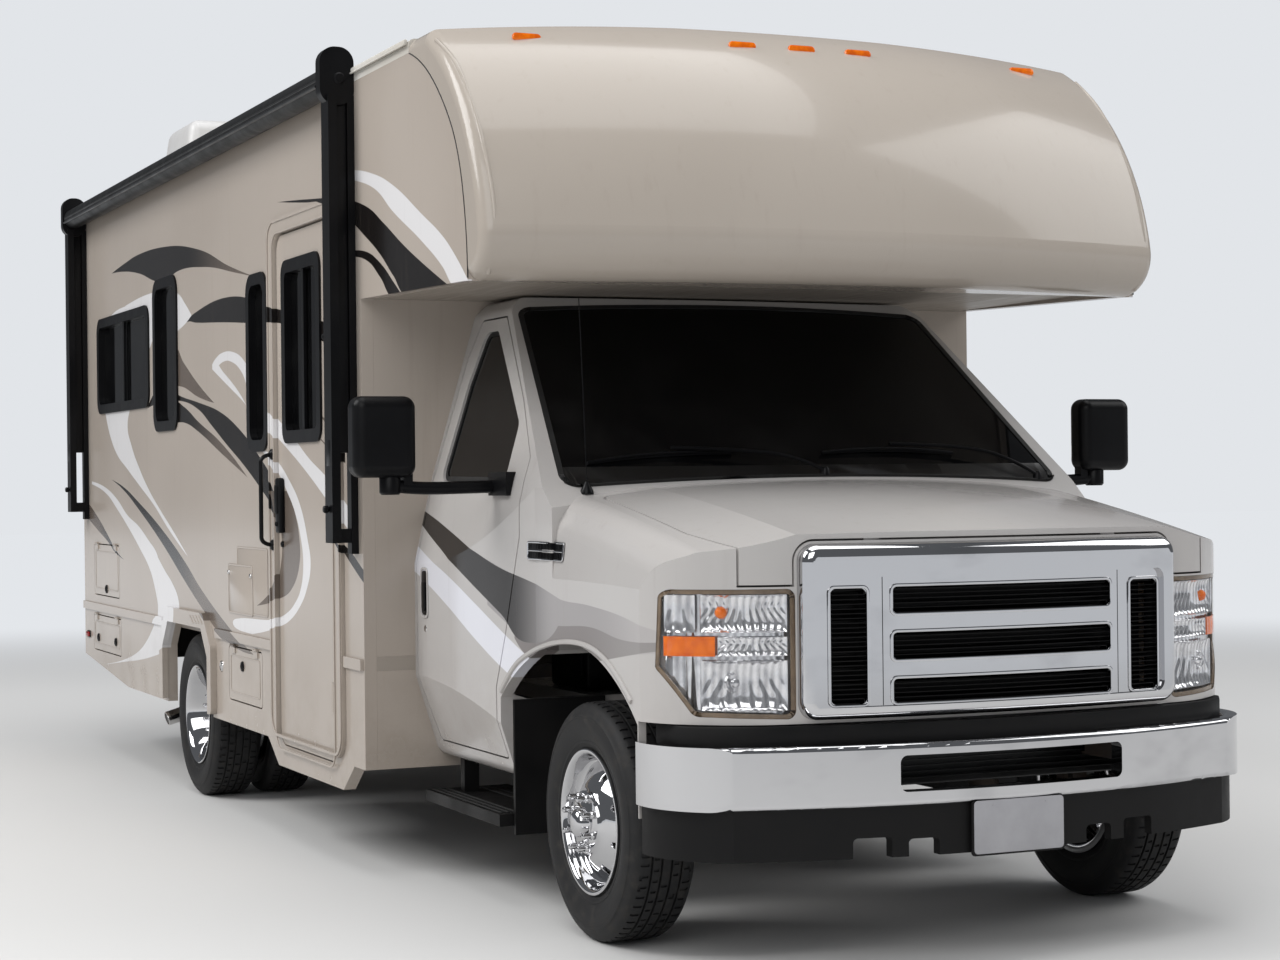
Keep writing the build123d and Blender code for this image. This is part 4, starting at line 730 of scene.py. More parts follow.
def mirrored(piece):
    # The same piece on the vehicle's other side.
    pick(piece)
    bpy.ops.object.duplicate(linked=False)
    twin = bpy.context.object
    twin.scale = (1, -1, 1)
    bake(twin)
    edit(twin)
    bpy.ops.mesh.normals_make_consistent(inside=False)
    close()
    return twin


def toLeft(piece):
    # Replaces a piece by its mirror image.
    twin = mirrored(piece)
    bpy.data.objects.remove(piece)
    return twin


def sided(piece, side):
    # A piece made for the right side, moved across when the side is the left one.
    return toLeft(piece) if side > 0 else piece


def onOwnSide(piece, side):
    # A piece made on either side, moved across when it lies on the other one.
    return toLeft(piece) if piece.data.vertices[0].co.y * side < 0 else piece


def skinCopy(node, keep):
    # The faces of a CAD node that pass a test on their middle and normal, merged, as a piece of their own.
    pick(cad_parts[node])
    bpy.ops.object.duplicate(linked=False)
    piece = bpy.context.object
    edit(piece)
    bpy.ops.mesh.remove_doubles(threshold=mergeGap)
    close()
    openFaces(piece, lambda face: not keep(face.center, face.normal))
    bpy.ops.mesh.delete(type="FACE")
    bpy.ops.mesh.select_mode(type="VERT")
    close()
    return piece


def surfacePoint(node, start, towards):
    # Where a line meets a CAD node, and which way the node faces there.
    found, place, normal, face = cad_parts[node].ray_cast(Vector(start), Vector(towards))
    assert found, (node, start)
    return place, normal


def wrap(piece, node, towards):
    # Moves each point of a piece along a line until what was drawn flat lies on a CAD node's surface.
    towards = Vector(towards)
    for vertex in piece.data.vertices:
        proud = -vertex.co.dot(towards)
        start = vertex.co + towards * (proud - 4)
        place = surfacePoint(node, start, towards)[0]
        vertex.co = place - towards * proud
    return piece


def settle(piece, name, finish, body="coach", smooth=35):
    # Names a finished piece and gives it its shading, finish, body and material slot.
    pick(piece)
    bpy.ops.object.shade_smooth_by_angle(angle=math.radians(smooth))
    piece.name = name
    piece.data.name = name
    piece.data.materials.clear()
    piece.data.materials.append(finishes[finish])
    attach(piece, body)
    return piece


# Wheels: tyres with cut treads, bright wheel covers with lug covers and a hub cap.
wheels = {
    "frontX": 2.82, "rearX": -1.193, "hubZ": 0.366, "frontY": 0.881, "rearY": 1.119, "dual": 0.264,
    "treadSteps": 252, "lugRing": 0.082, "lugs": 8, "handHoles": 8, "handRing": 0.153,
    "wall": [(0.207, 0.088), (0.224, 0.0885), (0.2315, 0.0955), (0.2395, 0.0978), (0.2412, 0.0998),
             (0.2478, 0.1006), (0.2495, 0.0995), (0.262, 0.1047), (0.278, 0.1086), (0.2925, 0.1109),
             (0.306, 0.1106), (0.318, 0.1086), (0.3195, 0.1096), (0.326, 0.1081), (0.3275, 0.1063),
             (0.338, 0.1026), (0.346, 0.0986), (0.352, 0.0946), (0.3575, 0.0892), (0.3615, 0.0826)],
    "tread": [(0.3646, 0.0752), (0.3653, 0.056), (0.3654, 0.0525), (0.3578, 0.0512), (0.3578, 0.0456),
              (0.3656, 0.0443), (0.3657, 0.0405), (0.3659, 0.0238), (0.3659, 0.0203), (0.3581, 0.019),
              (0.3581, 0.0134), (0.366, 0.0121), (0.366, 0.0092)],
    "frontFace": [(0.2222, 0.089), (0.2235, 0.0955), (0.2225, 0.1008), (0.2195, 0.1022), (0.213, 0.1012),
                  (0.2085, 0.098), (0.2045, 0.0915), (0.2005, 0.078), (0.196, 0.061), (0.1905, 0.0525),
                  (0.183, 0.049), (0.176, 0.0502), (0.168, 0.056), (0.151, 0.0706), (0.132, 0.085),
                  (0.118, 0.0925), (0.1065, 0.0985), (0.1005, 0.1035), (0.0985, 0.1085), (0.0965, 0.1118),
                  (0.092, 0.1132), (0.052, 0.1142), (0.047, 0.117), (0.0445, 0.129), (0.042, 0.1395),
                  (0.036, 0.148), (0.024, 0.1525), (0.0, 0.1542)],
    "frontBack": [(0.0, 0.095), (0.0352, 0.095), (0.0352, -0.03), (0.07, -0.03), (0.08, 0.05), (0.12, 0.067),
                  (0.166, 0.036), (0.186, 0.0365), (0.1935, 0.044), (0.196, 0.03), (0.196, -0.102),
                  (0.222, -0.102), (0.222, -0.0885), (0.207, -0.0885), (0.207, 0.0885)],
    "rearFace": [(0.2222, 0.089), (0.2235, 0.0955), (0.2225, 0.1008), (0.2195, 0.1022), (0.2125, 0.1008),
                 (0.2065, 0.0955), (0.2, 0.085), (0.193, 0.066), (0.186, 0.044), (0.17, -0.006),
                 (0.154, -0.052), (0.142, -0.073), (0.127, -0.0838), (0.108, -0.0868), (0.1015, -0.0855),
                 (0.1, -0.045), (0.0985, 0.008), (0.0965, 0.0142), (0.092, 0.016), (0.054, 0.017),
                 (0.049, 0.02), (0.046, 0.03), (0.04, 0.037), (0.026, 0.0405), (0.0, 0.0415)],
    "rearBack": [(0.0, 0.014), (0.0452, 0.014), (0.0452, -0.19), (0.12, -0.19), (0.12, -0.142),
                 (0.15, -0.118), (0.196, -0.11), (0.196, -0.366), (0.222, -0.366), (0.222, -0.3525),
                 (0.2068, -0.3525), (0.2068, -0.1755), (0.222, -0.1755), (0.222, -0.1505), (0.2068, -0.1505),
                 (0.2068, -0.1135), (0.222, -0.1135), (0.222, -0.1025), (0.222, -0.0885), (0.207, -0.0885),
                 (0.207, 0.0885)],
    "lug": [(0.0, 0.0425), (0.0045, 0.0422), (0.0082, 0.0398), (0.0095, 0.036), (0.0095, 0.0165),
            (0.0108, 0.0125), (0.0128, 0.0095), (0.0128, -0.001), (0.0, -0.001)],
}


def makeTyre():
    # One tyre on the ground plane: ribbed walls, grooves round the tread and slots across its ribs.
    half = wheels["wall"] + wheels["tread"]
    outline = half + [(radius, -height) for radius, height in reversed(half)]
    piece = turned(outline, wheels["treadSteps"])

    def slotted(face):
        radius, height = math.hypot(face.center.x, face.center.y), face.center.z
        place = math.atan2(face.center.y, face.center.x) / (2 * math.pi) * wheels["treadSteps"]
        shoulder = 0.056 < abs(height) < 0.083 and radius > 0.36
        rib = 0.0238 < abs(height) < 0.0405 and radius > 0.36
        centre = abs(height) < 0.0092 and radius > 0.36
        step = math.floor(place + 0.5) + (2 if height > 0 else 0)
        return (shoulder and step % 4 == 0) or (rib and step % 4 == 2) or (centre and step % 6 == 0)

    openFaces(piece, slotted)
    bpy.ops.mesh.extrude_region_shrink_fatten(
        MESH_OT_extrude_region={}, TRANSFORM_OT_shrink_fatten={"value": -0.005}
    )
    bpy.ops.mesh.select_mode(type="VERT")
    close()
    return piece


def makeWheelCover(face, back, lugFoot, holes):
    # One wheel on the ground plane with its flanges, hand holes, lug covers and valve stem.
    piece = turned(wheels[face] + wheels[back], 96)
    if holes:
        cutter = plate(rounded((-0.016, 0.016), (-0.0105, 0.0105), 0.0104), 0.3, 0)
        cutter = moved(cutter, (wheels["handRing"], 0, -0.02))
        cutters = around(cutter, wheels["handHoles"], math.pi / 8)
        finishWith(piece, "BOOLEAN", object=cutters, operation="DIFFERENCE", solver="EXACT")
        bpy.data.objects.remove(cutters)
        rounding(piece, 0.0012, 2, 60)
    lug = moved(turned(wheels["lug"], 16), (wheels["lugRing"], 0, lugFoot))
    lugs = around(lug, wheels["lugs"], math.pi / 8)
    stem = pipe([(0.199, 0.03, 0.06), (0.197, 0.03, 0.078), (0.193, 0.03, 0.094)], 0.0035)
    return joined([piece, lugs, stem])


for side, name in sides:
    frontHub = (wheels["frontX"], side * wheels["frontY"], wheels["hubZ"])
    rearHub = (wheels["rearX"], side * wheels["rearY"], wheels["hubZ"])
    tyre = put(makeTyre(), frontHub, name)
    settle(tyre, "frontTyre_" + name, "tyreRubber", "wheel_front_" + name)
    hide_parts("tyre_front_" + name)
    outer = makeTyre()
    pair = put(joined([outer, copied(outer, (0, 0, -wheels["dual"]))]), rearHub, name)
    settle(pair, "rearTyres_" + name, "tyreRubber", "wheels_rear_" + name)
    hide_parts("tyres_rear_" + name)
    cover = put(makeWheelCover("frontFace", "frontBack", 0.1125, True), frontHub, name)
    settle(cover, "frontWheelCover_" + name, "chrome", "wheel_front_" + name)
    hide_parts("rim_front_" + name)
    cover = put(makeWheelCover("rearFace", "rearBack", 0.0155, False), rearHub, name)
    settle(cover, "rearWheelCover_" + name, "chrome", "wheels_rear_" + name)
    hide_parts("rims_rear_" + name)
print("wheels made")

# Headlamps: a clear cover over fluted bowls and bulbs; y and z are those of the right side, without sign.
headlamp = {
    "bezel": 0.013, "cover": 0.003, "back": 0.034,
    "upper": {"y": (0.664, 0.886), "z": (0.974, 1.08), "depth": 0.027, "rim": 0.009, "ribs": 24},
    "corner": {"y": (0.897, 0.959), "z": (0.974, 1.08), "depth": 0.02, "rim": 0.01, "ribs": 6},
    "lower": {"y": (0.664, 0.886), "z": (0.752, 0.893), "depth": 0.028, "rim": 0.009, "ribs": 14},
    "cells": {"y": (0.664, 0.846), "z": (0.907, 0.96), "depth": 0.018, "rim": 0.009, "ribs": 20},
    "amber": {"y": (0.853, 0.962), "z": (0.906, 0.962)},
    "turnBulb": (0.832, 1.03), "mainBulb": (0.802, 0.83),
}


def lampSurface(y, z):
    place, normal = surfacePoint("headlamps", (4.2, -y, z), (-1, 0, 0))
    return place.x


def lampBowl(part):
    # A bright bowl behind the cover: oval and smooth in the middle, fluted from side to side.
    def height(y, z, u, v):
        across, along = 2 * u - 1, 2 * v - 1
        hollow = (1 - abs(across) ** 4) * (1 - abs(along) ** 4)
        fan = u + 0.06 * math.sin(2.2 * math.pi * v) * math.cos(math.pi * u)
        ribs = 0.0026 * math.sin(math.pi * part["ribs"] * fan) * hollow
        x = lampSurface(y, z) - part["rim"] - (part["depth"] - part["rim"]) * hollow ** 0.6 + ribs
        return (x, -y, z)
    columns = max(48, part["ribs"] * 5)
    return finishWith(grid(part["y"], part["z"], columns, 24, height), "SOLIDIFY", thickness=0.001, offset=1)


def onLamp(piece, y, z, depth):
    return put(piece, (lampSurface(y, z) - depth, -y, z), "front")


def makeHeadlamp():
    front = skinCopy("headlamps", lambda centre, normal: normal.x > 0.08 and centre.y < 0)
    rear = skinCopy("headlamps", lambda centre, normal: normal.x <= 0.08 and centre.y < 0)
    band = keepRim(copied(front), headlamp["bezel"])
    panel = copied(front, (-headlamp["back"], 0, 0))
    cover = finishWith(front, "SOLIDIFY", thickness=headlamp["cover"], offset=-1)
    band = moved(band, (-headlamp["cover"] - 0.0005, 0, 0))
    band = finishWith(band, "SOLIDIFY", thickness=0.006, offset=-1)
    panel = finishWith(panel, "SOLIDIFY", thickness=0.002, offset=-1)
    bowls = [lampBowl(headlamp[part]) for part in ("upper", "corner", "lower", "cells")]
    amber = headlamp["amber"]
    marker = grid(amber["y"], amber["z"], 24, 10, lambda y, z, u, v: (
        lampSurface(y, z) - 0.006 + 0.0012 * math.sin(28 * u) * math.sin(math.pi * v), -y, z))
    marker = finishWith(marker, "SOLIDIFY", thickness=0.004, offset=1)
    bulb = turned([(0, 0.016), (0.009, 0.0145), (0.0155, 0.009), (0.018, 0.002), (0.0165, -0.006),
                   (0.01, -0.0135), (0, -0.014)], 24)
    bulb = onLamp(bulb, *headlamp["turnBulb"], 0.026)
    outline = [(0, 0.012), (0.009, 0.0108), (0.013, 0.007), (0.0145, 0), (0.0125, -0.016), (0, -0.016)]
    cap = onLamp(turned(outline, 28), *headlamp["mainBulb"], 0.021)
    collar = turned([(0.0225, -0.01), (0.026, -0.006), (0.03, -0.01), (0.026, -0.014)], 32)
    collar = onLamp(collar, *headlamp["mainBulb"], 0.017)
    bright = joined([panel, cap, collar] + bowls)
    return [("Cover", cover, "clearLens"), ("Shell", rear, "lampRim"), ("Bezel", band, "lampRim"),
            ("Reflectors", bright, "reflector"), ("Amber", joined([marker, bulb]), "amberLens")]


for part, piece, finish in makeHeadlamp():
    twin = mirrored(piece)
    settle(piece, "headlamp" + part + "_right", finish)
    settle(twin, "headlamp" + part + "_left", finish)
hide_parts("headlamps")
print("headlamps made")

# Grille details: fine dark louvres in the openings, chamfered borders round them, and joints in the bars.
grilleSizes = {
    "faceX": 3.646, "edgeX": 3.58, "edgeY": 0.658, "pitch": 0.0135, "z": (0.764, 1.1),
    "openings": [((-0.56, -0.45), (0.764, 1.096)), ((0.45, 0.56), (0.764, 1.096)),
                 ((-0.372, 0.372), (0.765, 0.835)), ((-0.372, 0.372), (0.889, 0.967)),
                 ((-0.372, 0.372), (1.021, 1.098))],
}


def grilleX(y, back=0.0):
    # The crowned face of the grille's insert.
    drop = grilleSizes["faceX"] - grilleSizes["edgeX"]
    return grilleSizes["faceX"] - back - drop * (y / grilleSizes["edgeY"]) ** 2


def wrapFace(piece, surface):
    # Moves a piece drawn flat in y and z at x = 0 onto a crowned face.
    for vertex in piece.data.vertices:
        vertex.co.x += surface(vertex.co.y)
    return piece


def makeLouvres():
    across = [-0.585 + 0.03 * index for index in range(40)]
    front = [(grilleX(y, 0.02), y) for y in across]
    back = [(grilleX(y, 0.034), y) for y in reversed(across)]
    slat = plate(front + back, 0.0028, 0.0009)
    count = int((grilleSizes["z"][1] - grilleSizes["z"][0]) / grilleSizes["pitch"]) + 1
    slats = [copied(slat, (0, 0, grilleSizes["z"][0] + grilleSizes["pitch"] * index))
             for index in range(count)]
    bpy.data.objects.remove(slat)
    return joined(slats)


settle(makeLouvres(), "grilleFineLouvres", "blackPlastic")
borders = []
for y, z in grilleSizes["openings"]:
    outline = rounded((y[0] - 0.008, y[1] + 0.008), (z[0] - 0.008, z[1] + 0.008), 0.02, 4)
    piece = plate(outline, 0.004, 0.0014, 0.009)
    borders.append(wrapFace(put(dense(piece), (0, 0, 0), "front"), grilleX))
settle(joined(borders), "grilleBorders", "chrome")
seams = [slab((grilleX(y) - 0.002, y - 0.0012, 0.76), (grilleX(y) + 0.0006, y + 0.0012, 1.126), 0.0003, 1)
         for y in (-0.402, 0.402)]
settle(joined(seams), "grilleJoints", "rubberSeal")

# Filler between bumper and lamps, and the blank plate with its bracket and screws.
bumperSizes = {"crownX": 3.7, "cheekX": 3.556, "cheekY": 0.85, "plateY": 0.152, "plateZ": (0.326, 0.479)}


def bumperX(y, back=0.0):
    drop = bumperSizes["crownX"] - bumperSizes["cheekX"]
    return bumperSizes["crownX"] - back - drop * (y / bumperSizes["cheekY"]) ** 2


across = [-0.8 + 0.04 * index for index in range(41)]
ends = [(3.475, 0.885), (3.4, 0.94), (3.27, 0.955)]
outer = [(bumperX(y, 0.052), y) for y in across] + ends
outer += [(x - 0.05, y - 0.045) for x, y in reversed(ends)] + [(bumperX(y, 0.1), y) for y in reversed(across)]
outer += [(x - 0.05, 0.045 - y) for x, y in ends] + [(x, -y) for x, y in reversed(ends)]
filler = moved(plate(outer, 0.06, 0.003), (0, 0, 0.648))
settle(filler, "bumperFiller", "blackPlastic")
low, high = bumperSizes["plateZ"]
half = bumperSizes["plateY"]
bracket = put(plate(rounded((-half - 0.006, half + 0.006), (low - 0.006, high), 0.012), 0.009, 0.002),
              (3.687, 0, 0), "front")
settle(bracket, "plateBracket", "blackPlastic")
blank = put(plate(rounded((-half, half), (low, high), 0.012), 0.0022, 0.0008), (3.6965, 0, 0), "front")
screw = turned([(0, 0.0012), (0.003, 0.001), (0.0045, 0), (0.0045, -0.002), (0, -0.002)], 12)
screws = [put(copied(screw), (3.6983, y, high - 0.012), "front") for y in (-0.09, 0.09)]
bpy.data.objects.remove(screw)
settle(joined([blank] + screws), "numberPlateBlank", "plateWhite")
print("front face made")

# Windscreen: black border and cowl band, wipers, and the aerial.
windscreen = {
    "border": 0.02, "bandZ": 1.452, "normal": (0.64, 0, 0.77),
    "wipers": {
        "right": {"arm": [(2.548, -0.002, 1.415), (2.52, -0.05, 1.44), (2.47, -0.2, 1.478),
                          (2.437, -0.52, 1.495)],
                  "blade": [(2.452, -0.82, 1.458), (2.438, -0.6, 1.486), (2.452, -0.3, 1.49)]},
        "left": {"arm": [(2.527, 0.846, 1.393), (2.49, 0.79, 1.43), (2.43, 0.62, 1.492), (2.436, 0.3, 1.504)],
                 "blade": [(2.463, 0.03, 1.486), (2.437, 0.28, 1.503), (2.447, 0.55, 1.483)]},
    },
    "aerial": (2.552, -0.862, 1.372),
}
outside = skinCopy("windshield", lambda centre, normal: normal.x > 0.3)
band = copied(outside)
edit(band)
bpy.ops.mesh.bisect(plane_co=(0, 0, windscreen["bandZ"]), plane_no=(0, 0, 1), clear_outer=True)
close()
band = finishWith(band, "SOLIDIFY", thickness=0.0012, offset=1)
border = finishWith(keepRim(outside, windscreen["border"]), "SOLIDIFY", thickness=0.0035, offset=1)
settle(band, "cowlBand", "cowlBlack")
settle(border, "windscreenSeal", "rubberSeal")


def lifted(points, height):
    return [Vector(point) + Vector(windscreen["normal"]) * height for point in points]


def makeWiper(part):
    arm, blade = part["arm"], part["blade"]
    foot = lifted(arm[:1], 0.004)[0]
    pivot = moved(turned([(0, 0.03), (0.01, 0.028), (0.015, 0.02), (0.017, 0), (0, 0)], 20), foot)
    route = lifted(arm[:1], 0.018) + lifted(arm[1:2], 0.03) + lifted(arm[2:3], 0.034) + lifted(arm[3:], 0.024)
    rod = pipe(route, 0.0062)
    bow = pipe(lifted(blade[:1], 0.011) + lifted(blade[1:2], 0.026) + lifted(blade[2:], 0.011), 0.0045)
    edge = pipe(lifted(blade, 0.007), 0.0052)
    return joined([pivot, rod, bow, edge])


for side, part in windscreen["wipers"].items():
    settle(makeWiper(part), "wiper_" + side, "satinBlack")
x, y, z = windscreen["aerial"]
base = moved(turned([(0, 0.034), (0.006, 0.033), (0.0105, 0.024), (0.0215, 0.004), (0.0225, -0.006),
                     (0, -0.006)], 28), (x, y, z))
rod = pipe([(x, y, z + 0.03), (x - 0.02, y, z + 0.3), (x - 0.05, y, z + 0.62)], 0.0016)
settle(joined([base, rod]), "aerial", "satinBlack")

# Cab doors and wings: handles, locks, vents, window seals, mirror glasses and the lips of the arches.
cabTrim = {
    "handleX": (1.498, 1.572), "handleZ": (0.928, 1.108), "lock": (1.538, 0.892),
    "ventX": (2.405, 2.672), "ventZ": (1.157, 1.217), "lip": 0.009,
    "arch": [(2.19, 0.62), (2.2, 0.715), (2.28, 0.802), (2.42, 0.862), (2.6, 0.899), (2.79, 0.912),
             (2.95, 0.895), (3.1, 0.835), (3.2, 0.76), (3.246, 0.68)],
    "ventBarZ": (1.1845, 1.1895), "fins": 20, "finPitch": 0.0125, "finRows": (1.171, 1.203),
    "mirrorX": 2.0535, "mirrorY": (1.312, 1.486), "mirrorZ": (1.5, 1.668), "wideZ": (1.447, 1.49),
    "windowSeal": 0.016,
}


def onSide(piece, node, side):
    # Lays a piece drawn on the ground plane, x along and y up, on one side of the cab.
    return sided(wrap(put(piece, (0, 0, 0), "right"), node.replace("left", "right"), (0, 1, 0)), side)


for side, name in sides:
    door = "cab_door_" + name
    x, z = cabTrim["handleX"], cabTrim["handleZ"]
    rim = onSide(plate(rounded(x, z, 0.024, 6), 0.005, 0.002, 0.008), door, side)
    settle(rim, "doorHandleRim_" + name, "cabPlain", door)
    inner = rounded((x[0] + 0.009, x[1] - 0.009), (z[0] + 0.012, z[1] - 0.012), 0.02, 6)
    cup = onSide(plate(inner, 0.002, 0.0006), door, side)
    paddle = onSide(moved(plate(rounded((-0.017, 0.017), (-0.052, 0.052), 0.014, 6), 0.007, 0.003),
                          ((x[0] + x[1]) / 2, (z[0] + z[1]) / 2 - 0.012, 0.0015)), door, side)
    settle(joined([cup, paddle]), "doorHandle_" + name, "satinBlack", door)
    lock = turned([(0, 0.0035), (0.006, 0.0032), (0.0105, 0.0022), (0.012, 0), (0, 0)], 20)
    lock = onSide(moved(lock, (*cabTrim["lock"], 0)), door, side)
    settle(lock, "doorLock_" + name, "brightSteel", door)
    x, z = cabTrim["ventX"], cabTrim["ventZ"]
    frameRing = onSide(dense(plate(rounded(x, z, 0.008), 0.007, 0.002, 0.0065)), "cab_shell", side)
    bar = dense(plate(rounded(x, cabTrim["ventBarZ"], 0.002), 0.0055, 0.001))
    bar = onSide(bar, "cab_shell", side)
    settle(joined([frameRing, bar]), "wingVentFrame_" + name, "chrome")
    backing = onSide(dense(plate(rounded(x, z, 0.008), 0.0022, 0)), "cab_shell", side)
    fins = [onSide(moved(plate(rounded((-0.0016, 0.0016), (-0.0115, 0.0115), 0.0012, 2), 0.0042, 0.0006),
                         (x[0] + 0.014 + cabTrim["finPitch"] * index, height, 0)), "cab_shell", side)
            for index in range(cabTrim["fins"]) for height in cabTrim["finRows"]]
    settle(joined([backing] + fins), "wingVent_" + name, "satinBlack")
    route = [surfacePoint("cab_shell", (px, -3, pz + 0.004), (0, 1, 0))[0]
             for px, pz in cabTrim["arch"][1:-1]]
    settle(sided(pipe(route, cabTrim["lip"]), side), "archLip_" + name, "cabPlain")
    low, high = cabTrim["mirrorY"]
    glass = plate(rounded((low, high), cabTrim["mirrorZ"], 0.02), 0.003, 0.001)
    wide = plate(rounded((low, high), cabTrim["wideZ"], 0.016), 0.003, 0.001)
    glasses = put(joined([glass, wide]), (cabTrim["mirrorX"], 0, 0), "rear")
    settle(sided(glasses, side), "mirrorGlass_" + name, "mirrorGlass", door)
    node = "cab_glass_" + name
    seal = skinCopy(node, lambda centre, normal: normal.y * side > 0.6)
    seal = finishWith(keepRim(seal, cabTrim["windowSeal"]), "SOLIDIFY", thickness=0.004, offset=1)
    settle(seal, "doorWindowSeal_" + name, "rubberSeal", door)
print("cab details made")

# Black panel and cooling fins behind the grille and the bumper's slot.
radiator = {"x": 3.405, "y": 0.56, "z": (0.5, 1.06), "fins": 30}
panel = slab((radiator["x"], -radiator["y"], radiator["z"][0]),
             (radiator["x"] + 0.03, radiator["y"], radiator["z"][1]), 0.006)
fin = slab((radiator["x"] + 0.028, -0.54, 0), (radiator["x"] + 0.036, 0.54, 0.004), 0.0008, 1)
step = (radiator["z"][1] - radiator["z"][0] - 0.04) / radiator["fins"]
fins = [copied(fin, (0, 0, radiator["z"][0] + 0.02 + step * index)) for index in range(radiator["fins"])]
bpy.data.objects.remove(fin)
settle(joined([panel] + fins), "radiatorPanel", "cowlBlack")

# Coach sides: grab handle, locks, ports, service doors, lamps, rails and vents.
coachTrim = {
    "wall": 1.25, "grabX": 0.286, "grabZ": (1.165, 1.525), "grabOut": 0.062,
    "serviceDoors": [((-0.335, 0.15), (0.868, 1.148), 0.0016), ((-0.477, -0.078), (0.862, 1.072), 0.0034)],
    "knobs": [(-0.455, 1.035), (-0.1, 1.029)], "port": (-0.616, 0.624),
    "sideMarker": (-3.51, 0.605), "markerY": (-0.95, -0.22, 0.0, 0.22, 0.95),
    "leftVents": [((-0.95, -0.52), (0.86, 1.12)), ((-0.95, -0.52), (2.42, 2.62))],
    "leftPorts": [(-2.05, 0.9), (0.62, 0.98)],
    "railX": (-3.6, 1.975), "boardX": (1.47, 2.15), "boardZ": (0.3118, 0.3162),
    "noseBead": [(2.2, -1.215, 2.842), (2.31, -1.216, 2.785), (2.412, -1.2165, 2.699), (2.54, -1.212, 2.538),
                 (2.618, -1.209, 2.388), (2.664, -1.2035, 2.244), (2.664, -1.209, 2.125),
                 (2.61, -1.214, 2.055)],
    "noseSeam": [(1.99, 2.835), (2.107, 2.798), (2.301, 2.657), (2.465, 2.463), (2.536, 2.173),
                 (2.534, 2.045)],
}


def sidePlate(piece, side, proud=0.0):
    # Stands a piece drawn on the ground plane on a coach wall.
    return sided(put(piece, (0, -coachTrim["wall"] - proud, 0), "right"), side)


def makeLock(radius=0.021):
    body = turned([(0, 0.006), (radius * 0.45, 0.006), (radius * 0.5, 0.0085), (radius * 0.8, 0.008),
                   (radius, 0.005), (radius * 1.06, 0), (0, 0)], 28)
    key = plate(rounded((-0.0015, 0.0015), (-0.007, 0.007), 0.0012, 2), 0.0072, 0)
    return joined([body, key])


x, (low, high), out = coachTrim["grabX"], coachTrim["grabZ"], coachTrim["grabOut"]
wallY = -coachTrim["wall"]
rail = pipe([(x, wallY - 0.014, high), (x, wallY - out, high - 0.004), (x, wallY - out, high - 0.06),
             (x, wallY - out, low + 0.06), (x, wallY - out, low + 0.004), (x, wallY - 0.014, low)], 0.0085)
foot = [(0, 0.012), (0.014, 0.012), (0.021, 0.006), (0.022, 0), (0, 0)]
feet = [sidePlate(moved(turned(foot, 24), (x, z, 0)), -1, 0.0143) for z in (low, high)]
settle(joined([rail] + feet), "grabHandle", "satinBlack")

for body, places in {"hatch_forward": [(-0.261, 0.645)], "hatch_rear_lower": [(-3.25, 0.6), (-2.81, 0.6)],
                     "hatch_rear_upper": [(-3.03, 0.865)]}.items():
    locks = [sidePlate(moved(makeLock(), (x, z, 0)), -1) for x, z in places]
    settle(joined(locks), "hatchLocks_" + body, "satinBlack", body)
    x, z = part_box(body)[0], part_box(body)[1]
    outline = rounded((x[0] + 0.03, z[0] - 0.03), (x[2] + 0.03, z[2] - 0.045), 0.02)
    bead = sidePlate(plate(outline, 0.0018, 0.0008, 0.006), -1)
    settle(bead, "hatchBead_" + body, "coachPaint", body)

doors = []
for x, z, proud in coachTrim["serviceDoors"]:
    doors.append(sidePlate(plate(rounded(x, z, 0.018), proud, 0.0008), -1))
    doors.append(sidePlate(plate(rounded(x, z, 0.018), 0.0014, 0.0006, 0.008), -1, proud - 0.0002))
settle(joined(doors), "serviceDoors", "coachPaint")
knobs = [sidePlate(moved(makeLock(0.009), (x, z, 0.0034)), -1) for x, z in coachTrim["knobs"]]
x, z = coachTrim["port"]
port = turned([(0, 0.006), (0.012, 0.006), (0.0145, 0.004), (0.018, 0.006), (0.0225, 0.0045), (0.024, 0),
               (0, 0)], 28)
settle(joined(knobs + [sidePlate(moved(port, (x, z, 0)), -1)]), "serviceKnobs", "brightSteel")

ribs = []
for index in range(4):
    x, z = -1.075 + 0.055 * index, 0.823 + 0.002 * index
    outline = [(x, z), (x - 0.009, z - 0.003), (x + 0.056, z - 0.036), (x + 0.065, z - 0.033)]
    ribs.append(plate(outline, 0.0022, 0.0009))
ribs = sidePlate(joined(ribs), -1, 0.028)
settle(mirrored(ribs), "archRibs_left", "coachPaint")
settle(ribs, "archRibs_right", "coachPaint")

